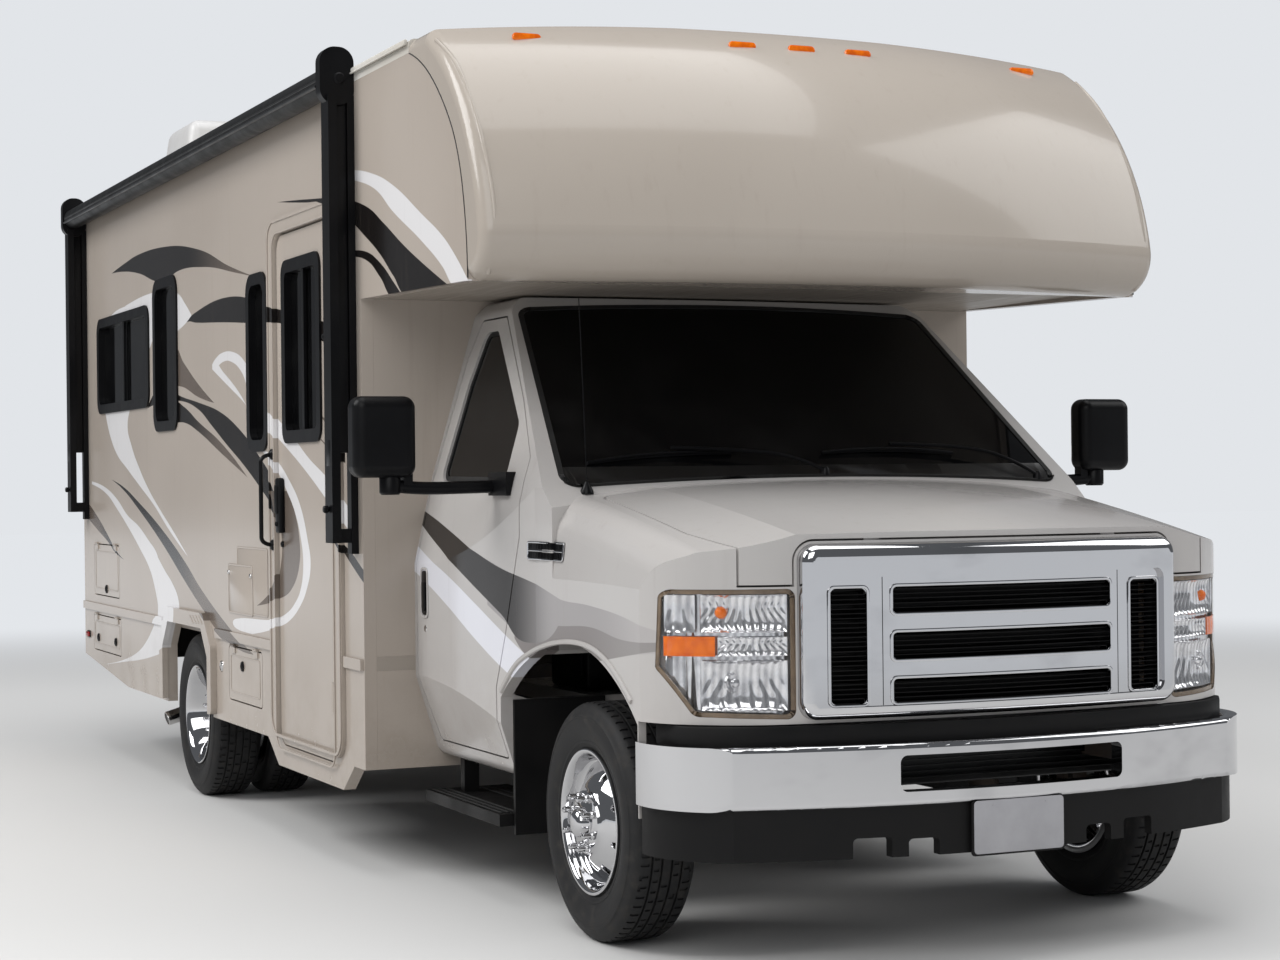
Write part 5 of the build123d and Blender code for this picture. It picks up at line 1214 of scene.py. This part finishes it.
for side, name in sides:
    x, z = coachTrim["sideMarker"]
    lens = plate(rounded((x - 0.034, x + 0.034), (z - 0.013, z + 0.013), 0.008), 0.012, 0.004)
    settle(sidePlate(lens, side, 0.002), "sideMarker_" + name, "redLens")
    seat = plate(rounded((x - 0.04, x + 0.04), (z - 0.019, z + 0.019), 0.01), 0.005, 0.0015)
    settle(sidePlate(seat, side), "sideMarkerSeat_" + name, "satinBlack")
    rear, front = coachTrim["railX"]
    rail = slab((rear, -1.262, 2.866), (front, -1.2502, 2.8845), 0.003, 2)
    lip = slab((rear, -1.266, 2.863), (front, -1.2585, 2.8685), 0.002, 2)
    rail = joined([rail, lip])
    settle(sided(rail, side), "dripRail_" + name, "roofSkin")
    found = [surfacePoint("cabover_nose", (px + 0.25, py - 0.25, pz), (-0.707, 0.707, 0))[0]
             for px, py, pz in coachTrim["noseBead"]]
    rim = pipe(found, 0.0075)
    settle(sided(rim, side), "noseBead_" + name, "nosePaint")
    groove = pipe([(gx + 0.002, -1.2503, gz) for gx, gz in coachTrim["noseSeam"]], 0.0022)
    settle(sided(groove, side), "noseSeam_" + name, "rubberSeal")
    low, high = zip(coachTrim["boardX"], coachTrim["boardZ"])
    strips = []
    for first, pitch, wide in ((0.745, 0.04, 0.02), (0.955, 0.025, 0.012)):
        for y in (first, first + pitch, first + 2 * pitch):
            strips.append(slab((low[0], y, low[1]), (high[0], y + wide, high[1]), 0.0014, 1))
    settle(sided(joined(strips), -side), "boardTreads_" + name, "rubberSeal")


def makeMarker():
    return plate(rounded((-0.05, 0.05), (-0.014, 0.014), 0.013), 0.016, 0.006)


front = []
for y in coachTrim["markerY"]:
    place = surfacePoint("cabover_nose", (4, y, 2.855), (-1, 0, 0))[0]
    front.append(put(makeMarker(), (place.x - 0.006, y, place.z), "front"))
settle(joined(front), "frontMarkers", "amberLens")
rear = [put(makeMarker(), (-3.618, y, 2.79), "rear") for y in coachTrim["markerY"]]
settle(joined(rear), "rearMarkers", "redLens")

for number, (x, z) in enumerate(coachTrim["leftVents"]):
    ring = plate(rounded(x, z, 0.02), 0.011, 0.003, 0.026)
    outline = rounded((x[0] + 0.03, x[1] - 0.03), (-0.0045, 0.0045), 0.004, 2)
    slats = [moved(plate(outline, 0.008, 0.002), (0, z[0] + 0.04 + 0.024 * index, 0))
             for index in range(int((z[1] - z[0] - 0.06) / 0.024))]
    settle(sidePlate(joined([ring] + slats), 1), "coolingVent_" + str(number), "roofSkin")
    # Painted shade: the black back plate behind the slats stands in for the shaded hollow of the vent.
    back = sidePlate(plate(rounded(x, z, 0.02), 0.002, 0.0005), 1)
    settle(back, "coolingVentBack_" + str(number), "cowlBlack")
for number, (x, z) in enumerate(coachTrim["leftPorts"]):
    flap = plate(rounded((x - 0.09, x + 0.09), (z - 0.09, z + 0.09), 0.02), 0.006, 0.002)
    lid = plate(rounded((x - 0.075, x + 0.075), (z - 0.075, z + 0.075), 0.016), 0.011, 0.003)
    lock = moved(makeLock(0.009), (x, z - 0.055, 0.011))
    settle(sidePlate(joined([flap, lid, lock]), 1), "leftPort_" + str(number), "roofSkin")
print("coach sides made")

# Rear: tail lamps in three colours, round ladder, corner mouldings and a blank plate.
rearSizes = {"x": -3.62, "lampY": (1.02, 1.15), "lampZ": (0.88, 1.25), "ladderY": (0.6, 0.96),
             "railX": -3.668, "rungs": 8, "rungZ": 0.82, "rungPitch": 0.29,
             "lenses": [("redLens", (1.075, 1.235)), ("amberLens", (0.985, 1.068)),
                        ("clearLens", (0.895, 0.978))],
             "plate": ((-0.152, 0.152), (0.66, 0.812)), "holder": ((-0.17, 0.17), (0.645, 0.845))}
for side, name in sides:
    y = rearSizes["lampY"]
    for number, (finish, z) in enumerate(rearSizes["lenses"]):
        lens = plate(rounded((-y[1] + 0.014, -y[0] - 0.014), z, 0.012), 0.022, 0.006)
        outline = rounded((-y[1] + 0.022, -y[0] - 0.022), (-0.0016, 0.0016), 0.0014, 1)
        ribs = [moved(plate(outline, 0.0232, 0.0006), (0, z[0] + 0.012 + 0.009 * index, 0))
                for index in range(int((z[1] - z[0] - 0.02) / 0.009))]
        lens = onOwnSide(put(joined([lens] + ribs), (rearSizes["x"] - 0.0055, 0, 0), "rear"), side)
        settle(lens, "tailLens" + str(number) + "_" + name, finish)
    seat = plate(rounded((-y[1], -y[0]), rearSizes["lampZ"], 0.02), 0.012, 0.004)
    seat = onOwnSide(put(seat, (rearSizes["x"] - 0.0003, 0, 0), "rear"), side)
    settle(seat, "tailLampSeat_" + name, "satinBlack")
    strip = slab((-3.6225, 1.178, 0.5), (-3.6195, 1.236, 2.83), 0.001, 1)
    settle(sided(strip, -side), "cornerMoulding_" + name, "coachPaint")
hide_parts("tail_lamps")
rails, rungs, treads = [], [], []
x = rearSizes["railX"]
for y in rearSizes["ladderY"]:
    rails.append(pipe([(x, y, 0.762), (x, y, 1.4), (x, y, 2.86), (x + 0.002, y, 2.9), (x + 0.023, y, 2.903)],
                      0.0145))
    for z in (0.9, 2.3, 2.8):
        rails.append(pipe([(x, y, z), (-3.6202, y, z)], 0.011))
        foot = turned([(0, 0.006), (0.02, 0.006), (0.024, 0.003), (0.024, 0), (0, 0)], 20)
        rails.append(put(foot, (rearSizes["x"], y, z), "rear"))
for index in range(rearSizes["rungs"]):
    z = rearSizes["rungZ"] + rearSizes["rungPitch"] * index
    rungs.append(pipe([(x + 0.004, y, z) for y in rearSizes["ladderY"]], 0.0125))
    treads.append(slab((x - 0.008, 0.62, z + 0.0115), (x + 0.016, 0.94, z + 0.015), 0.001, 1))
ladder = settle(joined(rails + rungs), "rearLadder", "brightMetal")
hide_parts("ladder")
settle(joined(treads), "ladderTreads", "rubberSeal")
blank = put(plate(rounded(*rearSizes["plate"], 0.012), 0.0025, 0.0008), (-3.6285, 0, 0), "rear")
settle(blank, "rearPlateBlank", "plateWhite")
holder = put(plate(rounded(*rearSizes["holder"], 0.014), 0.009, 0.003), (-3.6195, 0, 0), "rear")
settle(holder, "rearPlateHolder", "satinBlack")
print("rear made")

# Seats and beds: cloth pads blown up from smaller shapes, with channels and piped seams, on solid bases.
seating = {
    "pressure": 4.0, "frames": 20,
    "cushion": {"x": (1.637, 2.098), "y": (0.266, 0.724), "z": (0.9605, 1.072), "voxel": 0.011,
                "swell": 0.014},
    "back": {"z": (1.098, 1.512), "y": (0.262, 0.728), "x": (1.552, 1.634), "voxel": 0.011, "swell": 0.012},
    "head": {"z": (1.556, 1.688), "y": (0.375, 0.615), "x": (1.556, 1.63), "voxel": 0.01, "swell": 0.008},
    "bench": {"x": (-1.288, -0.312), "y": (-1.178, -0.662), "z": (1.0605, 1.162), "voxel": 0.02,
              "swell": 0.014},
    "bed": {"x": (-3.542, -2.018), "y": (-1.176, -0.514), "z": (1.1255, 1.276), "voxel": 0.026,
            "swell": 0.018},
    "loft": {"x": (1.518, 2.422), "y": (-1.132, 1.132), "z": (2.106, 2.218), "voxel": 0.028, "swell": 0.018},
    "pedestal": [((1.7, 0.34, 0.6905), (2.03, 0.65, 0.9), 0.012),
                 ((1.692, 0.332, 0.902), (2.038, 0.658, 0.9592), 0.01),
                 ((1.74, 0.3335, 0.74), (1.99, 0.3405, 0.87), 0.003),
                 ((1.74, 0.6495, 0.74), (1.99, 0.6565, 0.87), 0.003),
                 ((1.655, 0.29, 1.03), (1.69, 0.7, 1.1), 0.008)],
    "benchBox": [((-1.3, -1.19, 0.7905), (-0.3, -0.652, 1.06), 0.006, 3),
                 ((-1.24, -0.6535, 0.84), (-0.83, -0.6502, 1.02), 0.001, 1),
                 ((-0.77, -0.6535, 0.84), (-0.36, -0.6502, 1.02), 0.001, 1)],
}


def makePad(across, along, thickness, part, corner, lines=()):
    # A pad lying on the ground plane: remeshed, swollen by pressure, capped, channelled, then smoothed once.
    piece = plate(rounded(across, along, corner), thickness, 0)
    piece = rounding(piece, thickness * 0.3, 4, 50)
    finishWith(piece, "REMESH", mode="VOXEL", voxel_size=part["voxel"])
    start = [vertex.co.copy() for vertex in piece.data.vertices]
    pick(piece)
    cloth = piece.modifiers.new("cloth", "CLOTH")
    cloth.settings.use_pressure = True
    cloth.settings.uniform_pressure_force = seating["pressure"]
    cloth.settings.effector_weights.gravity = 0
    for step in range(1, seating["frames"] + 1):
        scene.frame_set(step)
    bpy.ops.object.modifier_apply(modifier=cloth.name)
    scene.frame_set(1)
    for vertex, before in zip(piece.data.vertices, start):
        move = vertex.co - before
        if move.length > part["swell"]:
            vertex.co = before + move.normalized() * part["swell"]
        if vertex.co.z > thickness * 0.6:
            for line in lines:
                off = vertex.co[line[0]] - line[1]
                vertex.co.z -= 0.009 * math.exp(-(off / (part["voxel"] * 1.1)) ** 2)
        vertex.co.z = max(vertex.co.z, 0.0003)
    return finishWith(piece, "SUBSURF", levels=1, render_levels=1)


def seam(piece, across, along, corner, height, radius=0.0032):
    # Piping that follows the pad's edge at one height.
    points = []
    for x, y in rounded((across[0] - 0.02, across[1] + 0.02), (along[0] - 0.02, along[1] + 0.02),
                        corner + 0.02, 3):
        found, place, normal, face = piece.closest_point_on_mesh((x, y, height))
        points.append(place)
    dense = []
    for first, second in zip(points, points[1:] + points[:1]):
        steps = max(1, int((second - first).length / 0.05))
        for index in range(steps):
            spot = first.lerp(second, index / steps)
            out = Vector((spot.x - sum(across) / 2, spot.y - sum(along) / 2, 0)).normalized() * 0.03
            dense.append(piece.closest_point_on_mesh((spot.x + out.x, spot.y + out.y, height))[1])
    return pipe(dense, radius, closed=True, sides=2)


def finishPad(pad, piping, name, finish):
    settle(pad, name, finish, smooth=60)
    settle(piping, name + "Piping", "pipingCord", smooth=60)
    return pad


pads = []
part = seating["cushion"]
pad = makePad(part["x"], part["y"], part["z"][1] - part["z"][0], part, 0.07,
              [(1, 0.36), (1, 0.63), (0, 1.8), (0, 1.95)])
piping = seam(pad, part["x"], part["y"], 0.07, 0.078)
pads.append(("cushion", moved(pad, (0, 0, part["z"][0])), moved(piping, (0, 0, part["z"][0]))))
for key, corner, lines, height in (("back", 0.08, [(1, 1.25), (1, 1.38), (0, 0.36), (0, 0.63)], 0.062),
                                   ("head", 0.05, [], 0.05)):
    part = seating[key]
    pad = makePad(part["y"], part["z"], part["x"][1] - part["x"][0], part, corner, lines)
    piping = seam(pad, part["y"], part["z"], corner, height)
    pads.append((key, put(pad, (part["x"][0], 0, 0), "front"), put(piping, (part["x"][0], 0, 0), "front")))
posts = joined([pipe([(1.592, y, 1.5), (1.592, y, 1.575)], 0.006) for y in (0.45, 0.54)])
pedestal = joined([slab(*block) for block in seating["pedestal"]])
for key, pad, piping in pads:
    for side, name in reversed(sides):
        one, cord = (pad, piping) if side > 0 else (mirrored(pad), mirrored(piping))
        finishPad(one, cord, "seat" + key.capitalize() + "_" + name, "seatCloth")
for side, name in sides:
    one, bars = (mirrored(pedestal), mirrored(posts)) if side < 0 else (pedestal, posts)
    settle(one, "seatPedestal_" + name, "blackPlastic")
    settle(bars, "headrestPosts_" + name, "chrome")
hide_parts("seats")
for key, name, lines in (("bench", "benchCushion", [(0, -0.8)]),
                         ("bed", "rearMattress", [(0, -3.0), (0, -2.5), (1, -0.85)]),
                         ("loft", "loftMattress", [(1, -0.55), (1, 0), (1, 0.55), (0, 1.97)])):
    part = seating[key]
    thickness = part["z"][1] - part["z"][0]
    pad = makePad(part["x"], part["y"], thickness, part, 0.06, lines)
    piping = seam(pad, part["x"], part["y"], 0.06, thickness * 0.74)
    finishPad(moved(pad, (0, 0, part["z"][0])), moved(piping, (0, 0, part["z"][0])), name, "cushionCloth")
settle(joined([slab(*block) for block in seating["benchBox"]]), "benchBase", "cabinetWood")
print("seats and beds made")

# Roof: a ribbed cooler shroud with louvred ends, and the vent's cover.
roofSizes = {
    "cooler": {"x": (-1.22, -0.18), "y": (-0.36, 0.36), "z": (2.936, 3.222), "round": 0.075, "taper": 0.17},
    "vent": {"x": (-2.46, -1.9), "y": (-1.08, -0.68), "z": (2.9, 3.185), "round": 0.06, "taper": 0.2},
    "ribY": (-0.2, -0.12, -0.04, 0.04, 0.12, 0.2), "ridgeY": (-0.95, -0.88, -0.81),
    "slats": 7, "slatZ": 2.985, "slatPitch": 0.024,
}


def makeShroud(part):
    # A moulded cover: round corners, sides that lean in, and a soft upper edge.
    x, y, z = part["x"], part["y"], part["z"]
    middle = (sum(x) / 2, sum(y) / 2)
    cover = plate(rounded(x, y, part["round"], 8), z[1] - z[0], 0)
    cover = finishWith(cover, "BEVEL", width=0.055, segments=6, limit_method="ANGLE",
                       angle_limit=math.radians(60))
    for vertex in cover.data.vertices:
        lean = 1 - part["taper"] * vertex.co.z / (z[1] - z[0])
        vertex.co.x = middle[0] + (vertex.co.x - middle[0]) * (0.5 + lean / 2)
        vertex.co.y = middle[1] + (vertex.co.y - middle[1]) * lean
    return moved(cover, (0, 0, z[0]))


cooler = makeShroud(roofSizes["cooler"])
skirt = moved(plate(rounded((-1.235, -0.165), (-0.375, 0.375), 0.08, 8), 0.026, 0.008), (0, 0, 2.936))
ribs = [slab((-1.07, y - 0.011, 3.216), (-0.33, y + 0.011, 3.2245), 0.004, 2)
        for y in roofSizes["ribY"]]
cooler = settle(joined([cooler, skirt] + ribs), "roofCooler", "coolerSkin")
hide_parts("roof_units")
# Painted shade: the louvres are black slats on the shroud's ends and sides, coloured as the shade in the
# louvre gaps.
slats = []
for row in range(roofSizes["slats"]):
    z = roofSizes["slatZ"] + roofSizes["slatPitch"] * row
    lean = 0.16 * (z - 2.936) / 0.286
    for end in (-1, 1):
        x = -0.7 + end * (0.52 * (1 - lean / 2) + 0.001)
        slats.append(slab((x - 0.004, -0.24, z), (x + 0.004, 0.24, z + 0.009), 0.002, 1))
        y = end * (0.36 * (1 - lean) + 0.001)
        slats.append(slab((-1.02, y - 0.005, z), (-0.6, y + 0.005, z + 0.009), 0.002, 1))
settle(joined(slats), "coolerLouvres", "cowlBlack")
vent = makeShroud(roofSizes["vent"])
ridges = [slab((-2.32, y - 0.008, 3.18), (-2.04, y + 0.008, 3.188), 0.003, 2) for y in roofSizes["ridgeY"]]
settle(joined([vent] + ridges), "roofVentCover", "coolerSkin")

# Awning: covers over the folded arms, pivots, the cloth's hem rail and the end caps' bolts.
awningSizes = {"arms": ((-3.5, 1.226), (1.35, 1.156)), "wall": -1.2503, "out": -1.352, "top": 2.786,
               "roller": (-1.316, 2.846)}
pieces = []
for x, foot in awningSizes["arms"]:
    low = foot + 0.36
    pieces.append(slab((x - 0.0165, -1.3345, low), (x + 0.0165, -1.277, awningSizes["top"] - 0.01), 0.004, 2))
    pieces.append(slab((x - 0.0285, -1.3525, low - 0.05), (x + 0.0285, -1.3185, low + 0.05), 0.005, 2))
    for z in (foot + 0.075, foot + 0.3, low, awningSizes["top"] - 0.08):
        bolt = put(turned([(0, 0.007), (0.007, 0.007), (0.0095, 0.0045), (0.0095, 0), (0, 0)], 12),
                   (x + 0.0295, -1.336, z), "front")
        pieces.append(bolt)
    knob = put(turned([(0, 0.02), (0.01, 0.02), (0.0135, 0.016), (0.0135, 0.004), (0.008, 0), (0, 0)], 20),
               (x, -1.3525, foot + 0.16), "right")
    pieces.append(knob)
    y, z = awningSizes["roller"]
    for end in (-1, 1):
        hub = turned([(0, 0.006), (0.016, 0.006), (0.021, 0.002), (0.0215, -0.001), (0, -0.001)], 24)
        hub = put(hub, (0, 0, 0), "front" if end > 0 else "rear")
        pieces.append(moved(hub, (x + end * 0.0262, y + 0.012, z)))
settle(joined(pieces), "awningDetails", "satinBlack")
hem = pipe([(-3.46, -1.3695, 2.822), (-1.0, -1.3695, 2.822), (1.31, -1.3695, 2.822)], 0.0065)
wrapEdge = slab((-3.46, -1.371, 2.84), (1.31, -1.3665, 2.848), 0.0015, 1)
settle(joined([hem, wrapEdge]), "awningHem", "cowlBlack")
rail = slab((-3.44, -1.262, 2.862), (1.29, -1.2515, 2.886), 0.003, 2)
settle(rail, "awningRail", "satinBlack")

# Entry door: a double bead round its frame, a black latch with its paddle, two locks and the holding catch.
entrySizes = {
    "outerBead": ((0.238, 1.19), (0.409, 2.452)), "innerBead": ((0.309, 1.115), (0.36, 2.4)),
    "beadOut": 0.0138, "latch": ((0.351, 0.411), (1.214, 1.431)), "latchOut": 0.0235,
    "paddle": ((0.364, 0.398), (1.29, 1.404)), "latchKey": (0.381, 1.25), "deadbolt": (0.381, 1.17),
    "catch": (1.025, 1.95), "gap": 0.0003,
}
beads = joined([plate(rounded(*entrySizes["outerBead"], 0.085, 8), 0.006, 0.0022, 0.013),
                plate(rounded(*entrySizes["innerBead"], 0.07, 8), 0.0055, 0.002, 0.009)])
settle(sidePlate(beads, -1, entrySizes["beadOut"]), "entryBeads", "coachPaint")
latch = joined([plate(rounded(*entrySizes["latch"], 0.014), entrySizes["latchOut"], 0.006),
                plate(rounded(*entrySizes["paddle"], 0.009), 0.031, 0.004),
                moved(makeLock(0.009), (*entrySizes["latchKey"], entrySizes["latchOut"])),
                moved(makeLock(0.012), (*entrySizes["deadbolt"], entrySizes["gap"]))])
latch = sidePlate(latch, -1, entrySizes["gap"])
settle(latch, "entryLatch", "satinBlack", "entry_door")
x, z = entrySizes["catch"]
knob = turned([(0, 0.02), (0.008, 0.02), (0.0105, 0.0165), (0.0095, 0.002), (0, 0.002)], 20)
catch = joined([plate(rounded((x - 0.025, x + 0.025), (z - 0.02, z + 0.02), 0.008), 0.006, 0.002),
                moved(knob, (x, z, 0.004))])
catch = sidePlate(catch, -1, entrySizes["gap"])
settle(catch, "entryCatch", "satinBlack", "entry_door")

# Mirrors: a thick arm out from the door, the joint under the head and a collar on it.
mirrorSizes = {
    "x": 2.11, "armRadius": 0.0215, "headY": -1.372, "jointZ": 1.402, "collarZ": 1.43,
    "arm": [(-1.02, 1.392), (-1.14, 1.39), (-1.27, 1.388), (-1.345, 1.396)],
}
for side, name in sides:
    x, y = mirrorSizes["x"], mirrorSizes["headY"]
    arm = pipe([(x, *spot) for spot in mirrorSizes["arm"]], mirrorSizes["armRadius"], sides=5)
    outline = [(0, 0.03), (0.03, 0.03), (0.035, 0.022), (0.035, -0.026), (0.029, -0.033), (0, -0.033)]
    joint = moved(turned(outline, 28), (x, y, mirrorSizes["jointZ"]))
    collar = turned([(0, 0.02), (0.024, 0.02), (0.028, 0.012), (0.028, -0.01), (0, -0.01)], 24)
    collar = moved(collar, (x, y, mirrorSizes["collarZ"]))
    cast = joined([arm, joint, collar])
    settle(sided(cast, side), "mirrorArm_" + name, "satinBlack", "cab_door_" + name)

# Driver's place: wheel spokes and hub, instrument hood, radio, air vents and the glove box lid.
dashSizes = {
    "hub": (2.08, 0.45, 1.3), "hubAxis": (-0.9, 0, 0.44), "spokes": (-8, 188, 270), "faceX": 2.1297,
    "radio": ((-0.16, 0.16), (1.2, 1.318)), "dials": ((0.33, 0.57), (1.17, 1.3)),
    "gloveBox": ((-0.8, -0.3), (1.135, 1.26)), "airY": (-0.78, -0.24, 0.24, 0.74), "airZ": (1.272, 1.312),
    "slatZ": (1.282, 1.292, 1.302),
}
grip = turned([(0, 0.03), (0.045, 0.028), (0.062, 0.014), (0.066, -0.006), (0, -0.012)], 32)
bars = [moved(slab((0.04, -0.019, -0.008), (0.172, 0.019, 0.009), 0.006, 2), (0, 0, 0), math.radians(angle))
        for angle in dashSizes["spokes"]]
spokes = joined([grip] + bars)
spokes.rotation_euler = Vector(dashSizes["hubAxis"]).to_track_quat("Z", "Y").to_euler()
spokes.location = dashSizes["hub"]
settle(bake(spokes), "steeringHub", "blackPlastic")
dash = [plate(rounded(*dashSizes["radio"], 0.03), 0.006, 0.003, 0.012),
        plate(rounded(*dashSizes["dials"], 0.03), 0.007, 0.003, 0.01),
        plate(rounded(*dashSizes["gloveBox"], 0.02), 0.004, 0.0015, 0.005)]
for y in dashSizes["airY"]:
    dash.append(plate(rounded((y - 0.05, y + 0.05), dashSizes["airZ"], 0.008), 0.004, 0.0015, 0.006))
    dash += [plate(rounded((y - 0.042, y + 0.042), (z - 0.0015, z + 0.0015), 0.001, 1), 0.003, 0)
             for z in dashSizes["slatZ"]]
settle(put(joined(dash), (dashSizes["faceX"], 0, 0), "rear"), "dashDetails", "cowlBlack")
print("roof, awning, entry, mirrors and dashboard detailed")

# Underside: spring bolts and clips, shock absorbers, tank straps, exhaust bands and tip, and brake lines.
under = {
    "rearX": -1.193, "springY": 0.5325, "tank": ((-3.1535, -2.4465), (0.4865, 0.7035)),
    "strapY": (-0.24, 0.2), "silencer": (-0.6, 0.5), "tip": ((-1.925, -1.19, 0.28), (-0.015, 0.39, 0.11)),
}
bolts = []
for y in (-under["springY"], under["springY"]):
    for x in (under["rearX"] - 0.085, under["rearX"] + 0.085):
        route = [(x, y - 0.041, 0.285), (x, y - 0.041, 0.43), (x, y - 0.03, 0.447), (x, y + 0.03, 0.447),
                 (x, y + 0.041, 0.43), (x, y + 0.041, 0.285)]
        bolts.append(pipe(route, 0.0065, sides=2))
        for out in (-0.041, 0.041):
            nut = turned([(0, 0.014), (0.0115, 0.014), (0.0125, 0.012), (0.0125, 0), (0, 0)], 6)
            bolts.append(moved(nut, (x, y + out, 0.277)))
    bolts.append(slab((under["rearX"] - 0.11, y - 0.055, 0.291), (under["rearX"] + 0.11, y + 0.055, 0.303),
                      0.003, 2))
    for reach in (-0.4, -0.24, 0.24, 0.4):
        low = surfacePoint("axles", (under["rearX"] + reach, y, 0.1), (0, 0, 1))[0].z
        outline = rounded((y - 0.0355, y + 0.0355), (low - 0.003, low + 0.052), 0.004, 2)
        clip = plate(outline, 0.022, 0.001, 0.0028)
        bolts.append(moved(put(clip, (0, 0, 0), "front"), (under["rearX"] + reach - 0.011, 0, 0)))
    side = 1 if y > 0 else -1
    bolts.append(pipe([(under["rearX"] + 0.07, y - side * 0.1, 0.4),
                       (under["rearX"] + 0.2, y - side * 0.1, 0.52)], 0.021, sides=4))
    bolts.append(pipe([(under["rearX"] + 0.2, y - side * 0.1, 0.52),
                       (under["rearX"] + 0.3, y - side * 0.1, 0.612)], 0.026, sides=4))
plug = put(turned([(0, 0.012), (0.01, 0.012), (0.012, 0.01), (0.012, 0), (0, 0)], 6),
           (under["rearX"] - 0.174, 0.02, 0.35), "rear")
settle(joined(bolts + [plug]), "springBolts", "castMetal")
straps = []
x, z = under["tank"]
for y in under["strapY"]:
    strap = plate(rounded(x, z, 0.0535, 8), 0.036, 0.0006, 0.0028)
    straps.append(moved(put(strap, (0, 0, 0), "right"), (0, y + 0.036, 0)))
y, z = under["silencer"]
for x in (0.262, 0.858):
    band = turned([(0.093, -0.006), (0.0985, -0.006), (0.0995, 0), (0.0985, 0.006), (0.093, 0.006)], 48)
    straps.append(moved(put(band, (0, 0, 0), "front"), (x, y, z)))
for x in (1.2, 1.56):
    band = turned([(0.027, -0.011), (0.0305, -0.011), (0.0315, 0), (0.0305, 0.011), (0.027, 0.011)], 32)
    straps.append(moved(put(band, (0, 0, 0), "front"), (x, y, z)))
settle(joined(straps), "tankStraps", "frameSteel")
place, towards = (Vector(item) for item in under["tip"])
sleeve = turned([(0.0283, -0.004), (0.0328, -0.004), (0.034, 0.0), (0.034, 0.1), (0.0315, 0.104),
                 (0.0285, 0.1)], 36)
sleeve.rotation_euler = towards.to_track_quat("Z", "Y").to_euler()
sleeve.location = place
settle(bake(sleeve), "exhaustTip", "brightSteel")
# A black disc across the tip's mouth: soot, and painted shade of the pipe's inside.
bore = turned([(0, 0.0004), (0.0235, 0.0004), (0.0235, -0.0006), (0, -0.0006)], 32)
bore.rotation_euler = (-towards).to_track_quat("Z", "Y").to_euler()
bore.location = place - towards.normalized() * 0.0006
settle(bake(bore), "exhaustBore", "cowlBlack")
lines = [pipe([(3.2, 0.388, 0.62), (1.6, 0.388, 0.62), (-0.9, 0.388, 0.62), (-1.12, 0.36, 0.5),
               (-1.19, 0.3, 0.43)], 0.0045, sides=1),
         pipe([(3.2, 0.388, 0.64), (0.4, 0.388, 0.64), (-2.44, 0.388, 0.64)], 0.0055, sides=1)]
settle(joined(lines), "brakeLines", "brightSteel")
print("underside detailed")

# Floor, world and lamps.
studio = {"floor": srgb(206, 205, 203), "world": srgb(214, 218, 224), "worldStrength": 0.6, "mirrored": 0.2,
          "backdrop": srgb(226, 229, 233), "farFloor": srgb(225, 228, 232), "aim": (0.5, 0, 1.2),
          "lamps": [{"place": (-2, -12, 11), "size": 8, "power": 1500},
                    {"place": (11, -7, 8), "size": 8, "power": 520},
                    {"place": (5, 10, 9), "size": 8, "power": 560},
                    {"place": (2, 0, 12), "size": 9, "power": 700}]}


def makeStudio():
    deselect()
    bpy.ops.mesh.primitive_plane_add(size=120, location=(0, 0, 0))
    ground = bpy.context.object
    ground.name = "studioFloor"
    material, surface, place = openFinish("studioFloor", Roughness=0.9, Emission_Strength=1.0)
    x, y, z = place.parts()
    far = ((x * x + y * y) * 0.01).rise(0.5, 2.2)
    feed(surface, Base_Color=far.tint(studio["floor"], srgb(0, 0, 0)),
         Emission_Color=far.tint(srgb(0, 0, 0), studio["farFloor"]))
    ground.data.materials.append(material)
    world = bpy.data.worlds.new("studioWorld")
    world.use_nodes = True
    scene.world = world
    background = world.node_tree.nodes["Background"]
    background.inputs["Color"].default_value = studio["world"]
    nodes, links = world.node_tree.nodes, world.node_tree.links
    seen, path, blend, dim = (nodes.new("ShaderNode" + kind)
                              for kind in ("Background", "LightPath", "MixShader", "MapRange"))
    dim.inputs["To Min"].default_value = studio["worldStrength"]
    dim.inputs["To Max"].default_value = studio["mirrored"]
    links.new(path.outputs["Is Glossy Ray"], dim.inputs["Value"])
    links.new(dim.outputs["Result"], background.inputs["Strength"])
    seen.inputs["Color"].default_value = studio["backdrop"]
    links.new(path.outputs["Is Camera Ray"], blend.inputs["Fac"])
    links.new(background.outputs["Background"], blend.inputs[1])
    links.new(seen.outputs["Background"], blend.inputs[2])
    links.new(blend.outputs["Shader"], nodes["World Output"].inputs["Surface"])
    for lamp in studio["lamps"]:
        bpy.ops.object.light_add(type="AREA", location=lamp["place"])
        light = bpy.context.object
        light.data.size = lamp["size"]
        light.data.energy = lamp["power"]
        aim = Vector(studio["aim"]) - Vector(lamp["place"])
        light.rotation_euler = aim.to_track_quat("-Z", "Y").to_euler()


makeStudio()
print("studio lit")
